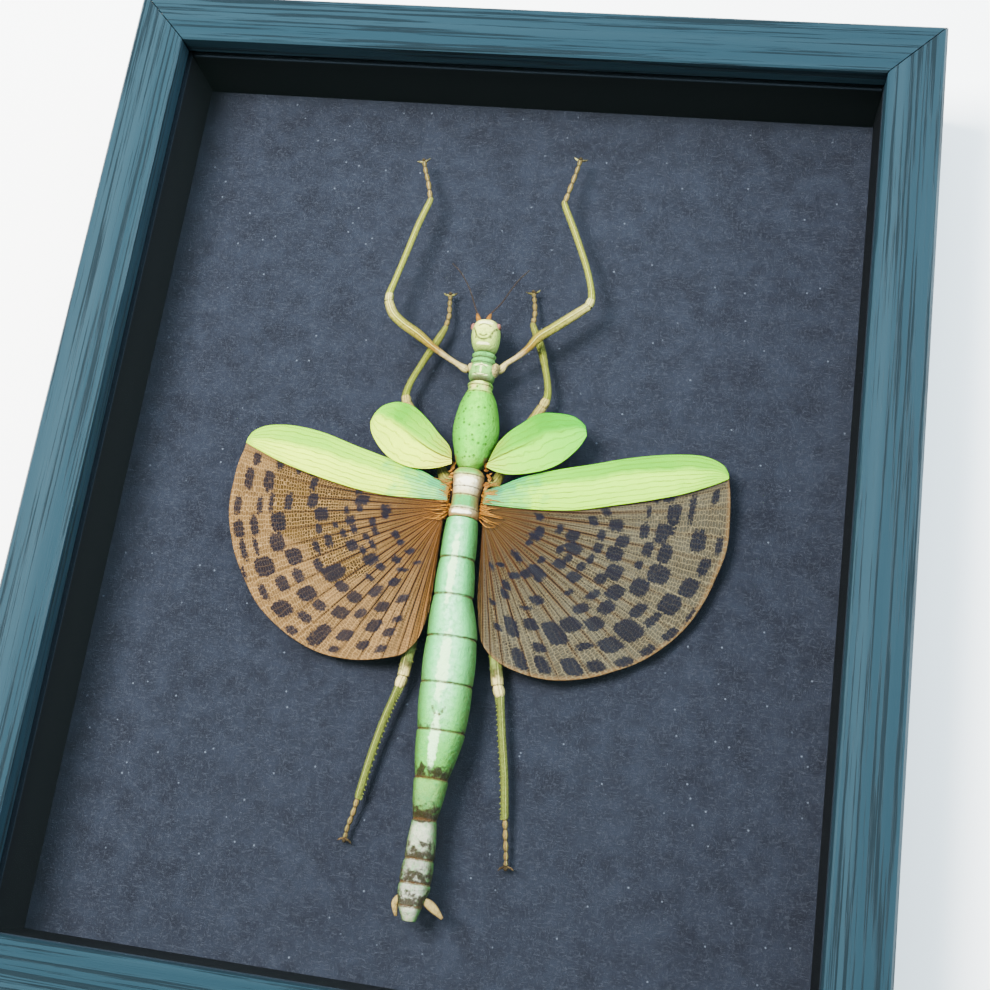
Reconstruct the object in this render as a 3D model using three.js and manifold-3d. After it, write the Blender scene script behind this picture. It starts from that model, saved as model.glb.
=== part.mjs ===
// A large winged stick insect, spread and dried, in a deep black wooden box frame behind glass.
// Units are millimetres. +X points right, +Y towards the insect's head, +Z out of the glass.
// The box lies on its back: the origin is the middle of the rectangle it covers, at Z = 0.

import * as THREE from 'three';
import { mergeVertices } from 'three/addons/utils/BufferGeometryUtils.js';
import Module from 'manifold-3d';

const wasm = await Module();
wasm.setup();

// Box frame
const OUTER_WIDTH = 230;
const OUTER_LENGTH = 280;
const OUTER_DEPTH = 45;
const BAR_FACE = 15;
const LIP_THICKNESS = 6.2;
const LIP_OVERHANG = 5;
const OUTER_CHAMFER = 0.8;
const LIP_CHAMFER = 0.5;
const MITRE_GAP = 0.2;
const FIT_GAP = 0.3;

// Layers behind the lip
const GLASS_THICKNESS = 2;
const BOARD_TOP = 17.5;
const BOARD_THICKNESS = 5;
const BACK_PANEL_THICKNESS = 3;

// Fittings on the back
const CLIP_THICKNESS = 0.8;
const CLIP_WIDTH = 10;
const CLIP_FOOT = 12;
const CLIP_LEG = 6.5;
const SCREW_HEAD_RADIUS = 2.2;
const SCREW_HEAD_HEIGHT = 1.3;
const SCREW_CROWN_SHARE = 0.7;
const SCREW_SIDES = 10;
const LONG_SIDE_CLIP_OFFSET = 80;
const HANGER_LENGTH = 46;
const HANGER_HEIGHT = 11;
const HANGER_THICKNESS = 1;
const HANGER_CENTRE_Y = 104;
const HANGER_TOOTH_COUNT = 9;
const HANGER_TOOTH_PITCH = 3;
const HANGER_TOOTH_DEPTH = 2;
const HANGER_SCREW_OFFSET = 19;

// Height of the insect's body axis above the board, and wing thicknesses
const AXIS_HEIGHT = 9;
const TEGMEN_THICKNESS = 0.8;
const STRIP_THICKNESS = 1.1;
const FAN_THICKNESS = 0.6;

// Worked out from the driving dimensions
const BODY_AXIS = BOARD_TOP + AXIS_HEIGHT;
const HALF_WIDTH = OUTER_WIDTH / 2;
const HALF_LENGTH = OUTER_LENGTH / 2;
const LIP_BOTTOM = OUTER_DEPTH - LIP_THICKNESS;
const WALL = BAR_FACE - LIP_OVERHANG;
const REBATE_HALF_WIDTH = HALF_WIDTH - WALL;
const REBATE_HALF_LENGTH = HALF_LENGTH - WALL;
const FILL_HALF_WIDTH = REBATE_HALF_WIDTH - FIT_GAP;
const FILL_HALF_LENGTH = REBATE_HALF_LENGTH - FIT_GAP;
const GLASS_TOP = LIP_BOTTOM - FIT_GAP;
const GLASS_BOTTOM = GLASS_TOP - GLASS_THICKNESS;
const LINER_TOP = GLASS_BOTTOM - FIT_GAP;
const LINER_BOTTOM = BOARD_TOP + FIT_GAP;
const LINER_THICKNESS = LIP_OVERHANG - FIT_GAP;
const BOARD_BOTTOM = BOARD_TOP - BOARD_THICKNESS;
const BACK_PANEL_TOP = BOARD_BOTTOM - FIT_GAP;
const BACK_PANEL_BOTTOM = BACK_PANEL_TOP - BACK_PANEL_THICKNESS;

const UP = new THREE.Vector3(0, 0, 1);
const REARWARDS = new THREE.Vector3(0, -1, 0);

// Flat sides of the round pieces
const BODY_SIDES = 12;
const MESOTHORAX_SIDES = 14;
const LEG_SIDES = 6;
const ANTENNA_SIDES = 5;
const SPIKE_SIDES = 4;

// Body rings, front to rear: [y, left x, right x, half height]
const HEAD = [
  [51.9, -2.7, 0.9, 1.4],
  [51.0, -4.1, 2.1, 2.9],
  [49.2, -4.8, 2.9, 3.8],
  [46.6, -4.8, 3.2, 4.1],
  [44.2, -4.2, 3.0, 3.7],
  [42.9, -3.5, 2.6, 3.1],
  [42.3, -2.9, 2.1, 2.5],
];
const PROTHORAX = [
  [42.0, -3.2, 2.4, 2.4],
  [41.4, -3.8, 2.9, 2.9],
  [40.5, -3.4, 2.6, 2.6],
  [39.7, -3.8, 2.9, 3.0],
  [38.9, -3.5, 2.6, 2.8],
  [37.6, -3.9, 3.2, 3.3],
  [35.4, -3.9, 3.3, 3.3],
  [34.3, -3.6, 3.2, 3.0],
  [33.7, -3.1, 2.8, 2.5],
];
const MESOTHORAX = [
  [33.4, -3.1, 2.8, 2.5],
  [32.6, -3.8, 3.3, 3.1],
  [31.4, -3.4, 3.1, 2.9],
  [30.5, -3.7, 3.6, 3.3],
  [28.2, -4.6, 4.8, 4.1],
  [25.0, -5.4, 5.8, 4.8],
  [20.5, -5.9, 6.7, 5.3],
  [17.0, -5.6, 6.6, 5.3],
  [13.5, -4.7, 5.5, 4.8],
  [10.5, -3.8, 4.5, 4.2],
  [8.6, -2.5, 2.9, 3.0],
];
const METATHORAX = [
  [8.3, -3.1, 3.5, 3.0],
  [7.0, -4.0, 4.6, 3.8],
  [4.4, -3.6, 4.5, 4.1],
  [1.5, -3.4, 4.2, 4.1],
  [-1.5, -3.2, 4.1, 4.1],
  [-3.6, -3.6, 4.6, 4.2],
  [-5.3, -3.3, 4.4, 4.0],
];

const EYES = [[-4.4, 49.5], [2.3, 49.9]];
const EYE_SIZES = [0.9, 1.1, 1.1];
const EYE_RISE = 0.8;

// First joints of the antennae: [x, y, height, half width, half height]
const SCAPES = [
  [[-3.1, 51, 9.2, 0.75, 0.7], [-3.7, 52.5, 9.4, 0.7, 0.6], [-4.2, 53.8, 9.4, 0.3, 0.3]],
  [[-1.0, 51, 9.2, 0.75, 0.7], [-0.7, 52.6, 9.4, 0.7, 0.6], [-0.3, 54.0, 9.4, 0.3, 0.3]],
];

// Where the abdomen's segments meet, front to rear: [y, left x, right x, half height]
const ABDOMEN_JOINTS = [
  [-5.6, -3.8, 4.7, 4.2],
  [-16.5, -4.0, 5.4, 4.6],
  [-26.5, -4.1, 6.4, 4.9],
  [-37.5, -4.2, 9.0, 5.3],
  [-49.5, -3.9, 9.6, 5.4],
  [-61.5, -3.0, 9.4, 5.2],
  [-73.5, -1.8, 6.9, 4.3],
  [-83.6, -0.7, 5.6, 3.4],
  [-93.2, -1.2, 6.3, 3.6],
  [-99.0, -1.6, 6.4, 3.5],
  [-104.6, -1.2, 5.2, 2.8],
];
const ABDOMEN_TIP = [-108.2, 0.6, 3.9, 1.2];
const SEGMENT_PINCH = 0.94;
const SEGMENT_BULGE = 1.04;
const SEGMENT_EDGE = 0.8;

// Cerci, the two leaf-shaped tail pieces: [x, y, height, half width, half height]
const CERCI = [
  [[4.6, -102.4, 9, 0.7, 0.5], [7.4, -104.0, 8.6, 1.2, 0.5], [10.3, -106.4, 8, 0.4, 0.3]],
  [[0.0, -101.8, 9, 0.7, 0.5], [-1.9, -104.2, 8.6, 0.9, 0.5], [-1.3, -107.4, 8, 0.4, 0.3]],
];

// Points along each leg, body to claws: [x, y, height above the board]
const LEGS = [
  {
    name: 'front_leg_left',
    kind: 'front',
    coxa: [[-4.4, 37.2, 8], [-5.6, 37.7, 8]],
    femur: [[-7.4, 38.6, 8.2], [-10.6, 40.2, 8.6], [-15, 42.7, 9.2], [-19.8, 45.9, 9.8], [-24.7, 48.8, 10],
      [-27.9, 51.6, 10], [-29.7, 55.2, 10]],
    tibia: [[-29.9, 57.6, 10], [-29.3, 62, 9.8], [-28.1, 69.8, 9.4], [-25.9, 80, 9], [-23.3, 87.6, 8.4]],
    tarsus: [[-23.3, 88.9, 8.3], [-24.7, 93.8, 7.6], [-26.4, 98.2, 6.8], [-27.5, 101.6, 6.2]],
  },
  {
    name: 'front_leg_right',
    kind: 'front',
    coxa: [[3.8, 37.2, 8], [4.7, 38.4, 8]],
    femur: [[5.9, 40, 8.4], [8.7, 42, 9], [11.6, 44.7, 9.6], [14.1, 47.9, 10], [17.5, 50.7, 10], [22, 54.4, 10],
      [26.5, 58.2, 10]],
    tibia: [[27.1, 60.4, 10], [26.3, 64.6, 9.8], [24.2, 70.8, 9.4], [20, 80.5, 9], [16, 89.1, 8.4]],
    tarsus: [[15.8, 90.6, 8.3], [16.7, 95.8, 7.6], [17.7, 101.3, 6.8], [18.2, 105, 6.2]],
  },
  {
    name: 'middle_leg_left',
    kind: 'middle',
    coxa: [[-4.3, 6.3, 6], [-6.4, 6.4, 5.6]],
    femur: [[-8.6, 9.6, 5.5], [-13.8, 17.6, 5.5], [-20.6, 26.6, 5.8]],
    tibia: [[-21.3, 28.9, 5.8], [-20.6, 33, 5.8], [-18.2, 39.4, 5.4], [-15.5, 45.6, 5], [-13.8, 50, 4.6]],
    tarsus: [[-13.5, 51.4, 4.5], [-13.2, 54.8, 4], [-13.7, 58.5, 3.4], [-14, 61.3, 3]],
  },
  {
    name: 'middle_leg_right',
    kind: 'middle',
    coxa: [[4.9, 6.3, 6], [7, 6.4, 5.6]],
    femur: [[8.6, 9.8, 5.5], [11.8, 18.6, 5.5], [17.1, 29.2, 5.8]],
    tibia: [[18, 31.6, 5.8], [17.9, 35, 5.8], [16.5, 40.4, 5.4], [14.2, 47.1, 5], [11.4, 53, 4.6]],
    tarsus: [[11.1, 54.4, 4.5], [11.1, 57.6, 4], [10.4, 61.5, 3.4], [9.8, 63.9, 3]],
  },
  {
    name: 'hind_leg_left',
    kind: 'hind',
    coxa: [[-3.9, -0.4, 5.2], [-5.8, -1.4, 4.8]],
    femur: [[-6.7, -5, 4.4], [-8.1, -24.2, 4], [-9.7, -48.2, 4.6]],
    tibia: [[-10.4, -50.9, 4.6], [-11.3, -54, 4.6], [-13.1, -60.6, 4.4], [-15, -69.8, 4], [-16.5, -79.2, 3.6]],
    tarsus: [[-16.8, -80.8, 3.5], [-17.4, -84.4, 3.2], [-18.3, -88, 2.8], [-18.6, -90.8, 2.6]],
  },
  {
    name: 'hind_leg_right',
    kind: 'hind',
    coxa: [[4.7, -0.4, 5.2], [6.2, -1.4, 4.8]],
    femur: [[6.6, -5, 4.4], [10.4, -24.2, 4], [15.4, -47.6, 4.6]],
    tibia: [[16.4, -50.1, 4.6], [17, -53, 4.6], [18.4, -60.6, 4.4], [20.2, -69.8, 4], [21.6, -79.2, 3.6]],
    tarsus: [[21.9, -80.8, 3.5], [22.5, -84.8, 3.2], [23.2, -89.1, 2.8], [23.5, -91.9, 2.6]],
  },
];

// Half widths along each kind of leg at the points above, from the body outwards
const LEG_WIDTHS = {
  front: {
    coxa: [0.9, 1.2],
    femur: [0.85, 0.85, 1.1, 1.5, 1.5, 1.5, 1.35],
    tibia: [1.1, 0.95, 0.95, 1, 0.95],
  },
  middle: {
    coxa: [1.1, 1.9],
    femur: [1.4, 1.6, 1.5],
    tibia: [1.2, 1, 1, 1.25, 0.95],
  },
  hind: {
    coxa: [1.1, 1.7],
    femur: [1.5, 1.8, 1.7],
    tibia: [1.2, 1.1, 1.1, 1.1, 1.05],
  },
};
const LEG_FLATNESS = 0.9;
const TARSUS_HALF_WIDTH = 0.55;
const TARSUS_SEGMENTS = 5;
const TARSUS_WAIST = 0.8;
const TARSUS_SWELL = 1.1;
const TARSUS_START_SIZE = 1.1;
const TARSUS_END_SIZE = 0.9;
const CLAW_LENGTH = 2.4;
const CLAW_RADIUS = 0.3;
const CLAW_SPLAY = 1.1;
const PAD_RADIUS = 0.65;
const TOOTH_LENGTH = 0.9;
const TOOTH_RADIUS = 0.3;
const TOOTH_ROOT = 0.35;
const TEETH_START = 0.06;
const TEETH_END = 0.95;
const TIBIA_TOOTH_COUNT = 12;
const FEMUR_TOOTH_COUNT = 7;
const FLAT_SIDE_SHARE = Math.cos(Math.PI / 6);

// Antennae: [x, y, height above the board]
const ANTENNA_HALF_WIDTH = 0.3;
const ANTENNA_TAPER = 0.4;
const ANTENNAE = {
  antenna_left: [[-4.3, 54.1, 9.4], [-5.6, 57, 9.8], [-7.4, 61, 10], [-10.4, 65.4, 10], [-13.3, 68.2, 10]],
  antenna_right: [[-0.2, 54.3, 9.4], [2.2, 57.2, 9.8], [4.2, 61, 10], [6.2, 64.6, 10], [8.8, 67.8, 10]],
};

// Fore wings, short and keeled: both edges from base to tip, [x, y]
const TEGMINA = {
  tegmen_left: {
    front: [[-5, 12.4], [-6.4, 14.6], [-9.4, 17.4], [-13, 21], [-17.5, 24.5], [-22, 25.5], [-26, 24.2], [-28.2, 21.8]],
    rear: [[-4.4, 9.2], [-7.4, 8], [-11.2, 7.2], [-16, 7.3], [-21, 8.9], [-25, 12], [-28, 16], [-29, 19.2]],
  },
  tegmen_right: {
    front: [[5.8, 12.4], [7.4, 16.4], [9.9, 19.8], [12.8, 22.4], [16.5, 25.5], [21, 26.4], [26.4, 26], [29.8, 23.8]],
    rear: [[5, 9.2], [7.8, 8.2], [11.4, 7.9], [16, 8.7], [21, 10.4], [25, 13], [28.6, 17.2], [30.5, 21]],
  },
};
const TEGMEN_BASE_HEIGHT = 11;
const TEGMEN_TIP_HEIGHT = 9.4;
const KEEL_HEIGHT = 2.2;
const KEEL_LEAN = 1.2;
const KEEL_FULLNESS = 1.4;
const TEGMEN_COLUMNS = 11;
const TEGMEN_ROWS = 5;

// Hind wings, all [x, y]: both edges of the stiff front strip from base to tip, the fan's margin from
// the tip to the body, and the two ends of the fan's hinge line
const HIND_WINGS = {
  hind_wing_left: {
    front: [[-4.4, 3], [-8, 4.8], [-14, 7.3], [-23, 9.7], [-32, 12.2], [-42, 15.2], [-51, 16.5], [-58, 16],
      [-62, 14.2], [-63.7, 11.9]],
    rear: [[-4.4, -0.7], [-8, -0.7], [-14, -0.8], [-21, -0.8], [-29, 0], [-37, 1.6], [-45, 3.6], [-53, 6],
      [-60, 8.8], [-63.9, 10.5]],
    margin: [[-64.6, 9], [-65.8, 3.6], [-66.3, -3], [-65.6, -10], [-63.8, -16.5], [-61, -22.4], [-57, -28.8],
      [-52, -34.6], [-45.6, -39.4], [-38.6, -43], [-32, -45], [-26, -45.6], [-19.6, -45.2], [-13.8, -44],
      [-9.4, -42], [-6.4, -37], [-5.2, -31], [-4.9, -24]],
    hinge: [[-4.4, -1.9], [-4.9, -5.4]],
  },
  hind_wing_right: {
    front: [[5.2, 3], [9, 4.6], [15, 7.9], [24, 11], [33, 13.5], [43, 16.4], [53, 18.4], [61.5, 19],
      [66.8, 17.4], [68.8, 15]],
    rear: [[5.2, -0.7], [9, -0.7], [15, -0.7], [22, -0.4], [30, 0.5], [39, 2.7], [48, 5.1], [57, 7.9], [65, 11.4],
      [69, 13.6]],
    margin: [[69.4, 12.6], [70.4, 7], [70.6, 0], [70, -6.6], [68, -13.4], [65.8, -19.4], [62.6, -25.4], [58.6, -30.4],
      [54.4, -34.4], [49.4, -37.8], [43.4, -40.8], [36.6, -43.2], [29.8, -44.5], [23, -44.1], [17, -42.7],
      [12.8, -40.4], [9.9, -37], [8.7, -33], [7.7, -28], [7, -22]],
    hinge: [[5.2, -1.9], [6, -5.4]],
  },
};
const STRIP_BASE_HEIGHT = 9.6;
const STRIP_TIP_HEIGHT = 7;
const STRIP_CAMBER = 1.2;
const STRIP_COLUMNS = 3;
const LEDGE_SHIFT = 1.2;
const LEDGE_DROP = 0.6;
const BESIDE_TURN = 0.12;
const FAN_HINGE_HEIGHT = 9;
const FAN_TIP_HEIGHT = 6.6;
const FAN_OUTER_HEIGHT = 3.6;
const FAN_BODY_HEIGHT = 7.6;
const FAN_DIP_END = 0.8;
const FAN_DIP_LEAN = 0.9;
const FAN_PLEATS = 12;
const PLEAT_HEIGHT = 0.7;
const WING_ROWS = 9;

// Hidden blocks that hold the insect off the board: [centre x, centre y, width, length, height of what rests on it]
const SUPPORTS = {
  thorax_support: [0.4, 19, 7, 12, 5.3],
  abdomen_support: [2.8, -46, 8, 14, 5.7],
};

// Finishes
const FINISHES = {
  stainedWood: { color: 0x24282b, roughness: 0.42, metalness: 0 },
  clearGlass: { color: 0xe9f2f0, roughness: 0.03, metalness: 0, transparent: true, opacity: 0.25 },
  blackLiner: { color: 0x17181c, roughness: 0.75, metalness: 0 },
  slatePaper: { color: 0x4a4c5c, roughness: 0.92, metalness: 0 },
  brownBoard: { color: 0x8b6d4b, roughness: 0.85, metalness: 0 },
  platedSteel: { color: 0xb9bcc0, roughness: 0.35, metalness: 1 },
  blackFoam: { color: 0x1c1c1e, roughness: 0.95, metalness: 0 },
  paleCuticle: { color: 0xc4d79a, roughness: 0.45, metalness: 0 },
  neckCuticle: { color: 0x8fcf7c, roughness: 0.45, metalness: 0 },
  thoraxCuticle: { color: 0x86d860, roughness: 0.4, metalness: 0 },
  creamCuticle: { color: 0xe6e4cc, roughness: 0.5, metalness: 0 },
  abdomenCuticle: { color: 0x8fe8a6, roughness: 0.35, metalness: 0 },
  legCuticle: { color: 0xbcbc74, roughness: 0.5, metalness: 0 },
  antennaCuticle: { color: 0x4a3a34, roughness: 0.6, metalness: 0 },
  leafWing: { color: 0xc4ec58, roughness: 0.45, metalness: 0 },
  fanWing: { color: 0x9a7a50, roughness: 0.6, metalness: 0 },
};

const specimen = new THREE.Group();

function addPiece(name, geometry, finish) {
  const piece = new THREE.Mesh(geometry, new THREE.MeshStandardMaterial(FINISHES[finish]));
  piece.name = name;
  specimen.add(piece);
  return piece;
}

// Six times the volume inside the faces: negative where they point inwards
function signedVolume(geometry) {
  const position = geometry.attributes.position;
  const corners = [new THREE.Vector3(), new THREE.Vector3(), new THREE.Vector3()];
  let sum = 0;
  for (let i = 0; i < geometry.index.count; i += 3) {
    corners.forEach((corner, k) => corner.fromBufferAttribute(position, geometry.index.getX(i + k)));
    sum += corners[0].dot(corners[1].cross(corners[2]));
  }
  return sum;
}

// Turns every face round
function flipFaces(geometry) {
  const order = geometry.index.array;
  for (let i = 0; i < order.length; i += 3) {
    [order[i], order[i + 1]] = [order[i + 1], order[i]];
  }
}

// Keeps only the positions and joins the vertices that share one
function welded(geometry) {
  geometry.deleteAttribute('normal');
  geometry.deleteAttribute('uv');
  return mergeVertices(geometry);
}

// Moves each vertex of a closed geometry to the place that a function gives it
function shaped(geometry, placeOf) {
  const result = welded(geometry);
  const position = result.attributes.position;
  const point = new THREE.Vector3();
  for (let i = 0; i < position.count; i += 1) {
    const place = placeOf(point.fromBufferAttribute(position, i));
    position.setXYZ(i, place.x, place.y, place.z);
  }
  if (signedVolume(result) < 0) {
    flipFaces(result);
  }
  return result;
}

function toSolid(geometry) {
  return new wasm.Manifold(new wasm.Mesh({
    numProp: 3,
    vertProperties: new Float32Array(geometry.attributes.position.array),
    triVerts: new Uint32Array(geometry.index.array),
  }));
}

function toGeometry(solid) {
  const mesh = solid.getMesh();
  const geometry = new THREE.BufferGeometry();
  geometry.setAttribute('position', new THREE.BufferAttribute(mesh.vertProperties, 3));
  geometry.setIndex(new THREE.BufferAttribute(mesh.triVerts, 1));
  return geometry;
}

function joined(geometries) {
  return geometries.map(toSolid).reduce((whole, next) => whole.add(next));
}

function flatCurve(points) {
  return new THREE.CatmullRomCurve3(points.map(([x, y]) => new THREE.Vector3(x, y, 0)));
}

// An oval section carried along stations of [x, y, z, half width, half height], with a ring at
// each. It stays square to the route, or to one fixed heading.
function limb(stations, sides, heading = null) {
  const steps = stations.length - 1;
  const centres = new THREE.CatmullRomCurve3(stations.map(([x, y, z]) => new THREE.Vector3(x, y, z)));
  return shaped(new THREE.CylinderGeometry(1, 1, 1, sides, steps), (point) => {
    const index = Math.round((point.y + 0.5) * steps);
    const [x, y, z, halfWidth, halfHeight] = stations[index];
    const forward = heading ?? centres.getTangent(index / steps);
    const side = new THREE.Vector3().crossVectors(forward, UP).normalize();
    const top = new THREE.Vector3().crossVectors(side, forward);
    return new THREE.Vector3(x, y, z)
      .addScaledVector(side, point.x * halfWidth)
      .addScaledVector(top, point.z * halfHeight);
  });
}

// A body segment through its rings, all square to the body's axis
function bodySegment(rings, sides) {
  return limb(rings.map(([y, left, right, tall]) => [
    (left + right) / 2, y, BODY_AXIS, (right - left) / 2, tall,
  ]), sides, REARWARDS);
}

// A thin closed sheet: placeOf(u, v) gives a point on its middle surface, u and v run from 0 to 1
function sheet(columns, rows, thicknessOf, placeOf) {
  return shaped(new THREE.BoxGeometry(1, 1, 1, columns, rows, 1), (point) => {
    const u = point.x + 0.5;
    const place = placeOf(u, point.y + 0.5);
    return place.setZ(place.z + point.z * thicknessOf(u));
  });
}

// Frame bars: an L section with mitred ends, the lip towards the middle
function frameBar(halfAcross, halfSpan, turn) {
  const section = new THREE.Shape();
  section.moveTo(0, 0);
  section.lineTo(WALL, 0);
  section.lineTo(WALL, LIP_BOTTOM);
  section.lineTo(BAR_FACE, LIP_BOTTOM);
  section.lineTo(BAR_FACE, OUTER_DEPTH - LIP_CHAMFER);
  section.lineTo(BAR_FACE - LIP_CHAMFER, OUTER_DEPTH);
  section.lineTo(OUTER_CHAMFER, OUTER_DEPTH);
  section.lineTo(0, OUTER_DEPTH - OUTER_CHAMFER);
  section.closePath();
  const bar = shaped(new THREE.ExtrudeGeometry(section, { depth: 1, bevelEnabled: false }), (point) => {
    const reach = halfSpan - point.x - MITRE_GAP;
    return new THREE.Vector3(halfAcross - point.x, (2 * point.z - 1) * reach, point.y);
  });
  return bar.rotateZ(turn);
}

function addFrame() {
  const quarter = Math.PI / 2;
  addPiece('frame_bar_right', frameBar(HALF_WIDTH, HALF_LENGTH, 0), 'stainedWood');
  addPiece('frame_bar_top', frameBar(HALF_LENGTH, HALF_WIDTH, quarter), 'stainedWood');
  addPiece('frame_bar_left', frameBar(HALF_WIDTH, HALF_LENGTH, 2 * quarter), 'stainedWood');
  addPiece('frame_bar_bottom', frameBar(HALF_LENGTH, HALF_WIDTH, 3 * quarter), 'stainedWood');
}

// A flat rectangular layer between two heights
function addLayer(name, width, length, bottom, top, finish) {
  const layer = addPiece(name, welded(new THREE.BoxGeometry(width, length, top - bottom)), finish);
  layer.position.z = (top + bottom) / 2;
  return layer;
}

function addLayers() {
  const width = 2 * FILL_HALF_WIDTH;
  const length = 2 * FILL_HALF_LENGTH;
  addLayer('glass_pane', width, length, GLASS_BOTTOM, GLASS_TOP, 'clearGlass');
  addLayer('mount_board', width, length, BOARD_BOTTOM, BOARD_TOP, 'slatePaper');
  addLayer('back_panel', width, length, BACK_PANEL_BOTTOM, BACK_PANEL_TOP, 'brownBoard');
}

// Liner strips: the long ones fill the length, the short ones stand between them
function addLiner() {
  const sideX = FILL_HALF_WIDTH - LINER_THICKNESS / 2;
  const endY = FILL_HALF_LENGTH - LINER_THICKNESS / 2;
  const endWidth = 2 * (FILL_HALF_WIDTH - LINER_THICKNESS - FIT_GAP);
  const strips = [
    ['liner_left', LINER_THICKNESS, 2 * FILL_HALF_LENGTH, -sideX, 0],
    ['liner_right', LINER_THICKNESS, 2 * FILL_HALF_LENGTH, sideX, 0],
    ['liner_top', endWidth, LINER_THICKNESS, 0, endY],
    ['liner_bottom', endWidth, LINER_THICKNESS, 0, -endY],
  ];
  strips.forEach(([name, width, length, x, y]) => {
    const strip = addLayer(name, width, length, LINER_BOTTOM, LINER_TOP, 'blackLiner');
    strip.position.x = x;
    strip.position.y = y;
  });
}

// A screw's head: its flat side at the given height, its narrower crown below
function screwHead(x, y, top) {
  const crown = SCREW_HEAD_RADIUS * SCREW_CROWN_SHARE;
  return welded(new THREE.CylinderGeometry(SCREW_HEAD_RADIUS, crown, SCREW_HEAD_HEIGHT, SCREW_SIDES))
    .rotateX(Math.PI / 2)
    .translate(x, y, top - SCREW_HEAD_HEIGHT / 2);
}

// Retaining clips: a foot over the back panel, and a leg screwed to the rebate's wall
function retainingClip() {
  const shape = new THREE.Shape();
  shape.moveTo(0, 0);
  shape.lineTo(CLIP_FOOT, 0);
  shape.lineTo(CLIP_FOOT, -CLIP_THICKNESS);
  shape.lineTo(CLIP_THICKNESS, -CLIP_THICKNESS);
  shape.lineTo(CLIP_THICKNESS, -CLIP_LEG);
  shape.lineTo(0, -CLIP_LEG);
  shape.closePath();
  const plate = welded(new THREE.ExtrudeGeometry(shape, { depth: CLIP_WIDTH, bevelEnabled: false }));
  plate.translate(0, 0, -CLIP_WIDTH / 2).rotateX(Math.PI / 2);
  const head = screwHead(0, 0, 0).rotateY(-Math.PI / 2);
  head.translate(CLIP_THICKNESS / 2, 0, -(CLIP_LEG + CLIP_THICKNESS) / 2);
  return toGeometry(joined([plate, head]));
}

function addClips() {
  const across = FILL_HALF_WIDTH;
  const along = FILL_HALF_LENGTH;
  const clips = [
    ['retaining_clip_left_upper', -across, LONG_SIDE_CLIP_OFFSET, 0],
    ['retaining_clip_left_lower', -across, -LONG_SIDE_CLIP_OFFSET, 0],
    ['retaining_clip_right_upper', across, LONG_SIDE_CLIP_OFFSET, Math.PI],
    ['retaining_clip_right_lower', across, -LONG_SIDE_CLIP_OFFSET, Math.PI],
    ['retaining_clip_bottom', 0, -along, Math.PI / 2],
    ['retaining_clip_top', 0, along, -Math.PI / 2],
  ];
  clips.forEach(([name, x, y, turn]) => {
    const clip = addPiece(name, retainingClip(), 'platedSteel');
    clip.position.set(x, y, BACK_PANEL_BOTTOM - FIT_GAP);
    clip.rotation.z = turn;
  });
}

// Saw-tooth hanger: a plate with a row of teeth along its lower edge and a screw at each end
function addHanger() {
  const half = HANGER_LENGTH / 2;
  const low = HANGER_CENTRE_Y - HANGER_HEIGHT / 2;
  const high = HANGER_CENTRE_Y + HANGER_HEIGHT / 2;
  const firstTooth = (-HANGER_TOOTH_COUNT * HANGER_TOOTH_PITCH) / 2;
  const plate = new THREE.Shape();
  plate.moveTo(-half, low + HANGER_TOOTH_DEPTH);
  for (let i = 0; i < HANGER_TOOTH_COUNT; i += 1) {
    const left = firstTooth + i * HANGER_TOOTH_PITCH;
    plate.lineTo(left, low + HANGER_TOOTH_DEPTH);
    plate.lineTo(left + HANGER_TOOTH_PITCH / 2, low);
  }
  plate.lineTo(-firstTooth, low + HANGER_TOOTH_DEPTH);
  plate.lineTo(half, low + HANGER_TOOTH_DEPTH);
  plate.lineTo(half, high - HANGER_TOOTH_DEPTH);
  plate.lineTo(half - HANGER_TOOTH_DEPTH, high);
  plate.lineTo(-half + HANGER_TOOTH_DEPTH, high);
  plate.lineTo(-half, high - HANGER_TOOTH_DEPTH);
  plate.closePath();
  const top = BACK_PANEL_BOTTOM - FIT_GAP;
  const solid = welded(new THREE.ExtrudeGeometry(plate, { depth: HANGER_THICKNESS, bevelEnabled: false }));
  addPiece('hanger', solid.translate(0, 0, top - HANGER_THICKNESS), 'platedSteel');
  const screwTop = top - HANGER_THICKNESS - FIT_GAP;
  const screws = { hanger_screw_left: -HANGER_SCREW_OFFSET, hanger_screw_right: HANGER_SCREW_OFFSET };
  Object.entries(screws).forEach(([name, x]) => {
    addPiece(name, screwHead(x, HANGER_CENTRE_Y, screwTop), 'platedSteel');
  });
}

function addSupports() {
  Object.entries(SUPPORTS).forEach(([name, [x, y, width, length, halfHeight]]) => {
    const top = BODY_AXIS - halfHeight - FIT_GAP;
    const block = addLayer(name, width, length, BOARD_TOP + FIT_GAP, top, 'blackFoam');
    block.position.x = x;
    block.position.y = y;
  });
}

// Raises a leg, antenna or cercus station from its height above the board
function onBoard([x, y, height, ...sizes]) {
  return [x, y, BOARD_TOP + height, ...sizes];
}

function ellipsoid(centre, sizes, detail) {
  return shaped(new THREE.IcosahedronGeometry(1, detail), (point) => (
    new THREE.Vector3(...centre).add(point.multiply(new THREE.Vector3(...sizes)))
  ));
}

// Head with its eyes and the short first joints of the antennae
function addHead() {
  const eyes = EYES.map(([x, y]) => ellipsoid([x, y, BODY_AXIS + EYE_RISE], EYE_SIZES, 1));
  const scapes = SCAPES.map((stations) => limb(stations.map(onBoard), LEG_SIDES));
  addPiece('head', toGeometry(joined([bodySegment(HEAD, BODY_SIDES), ...eyes, ...scapes])), 'paleCuticle');
}

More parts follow.
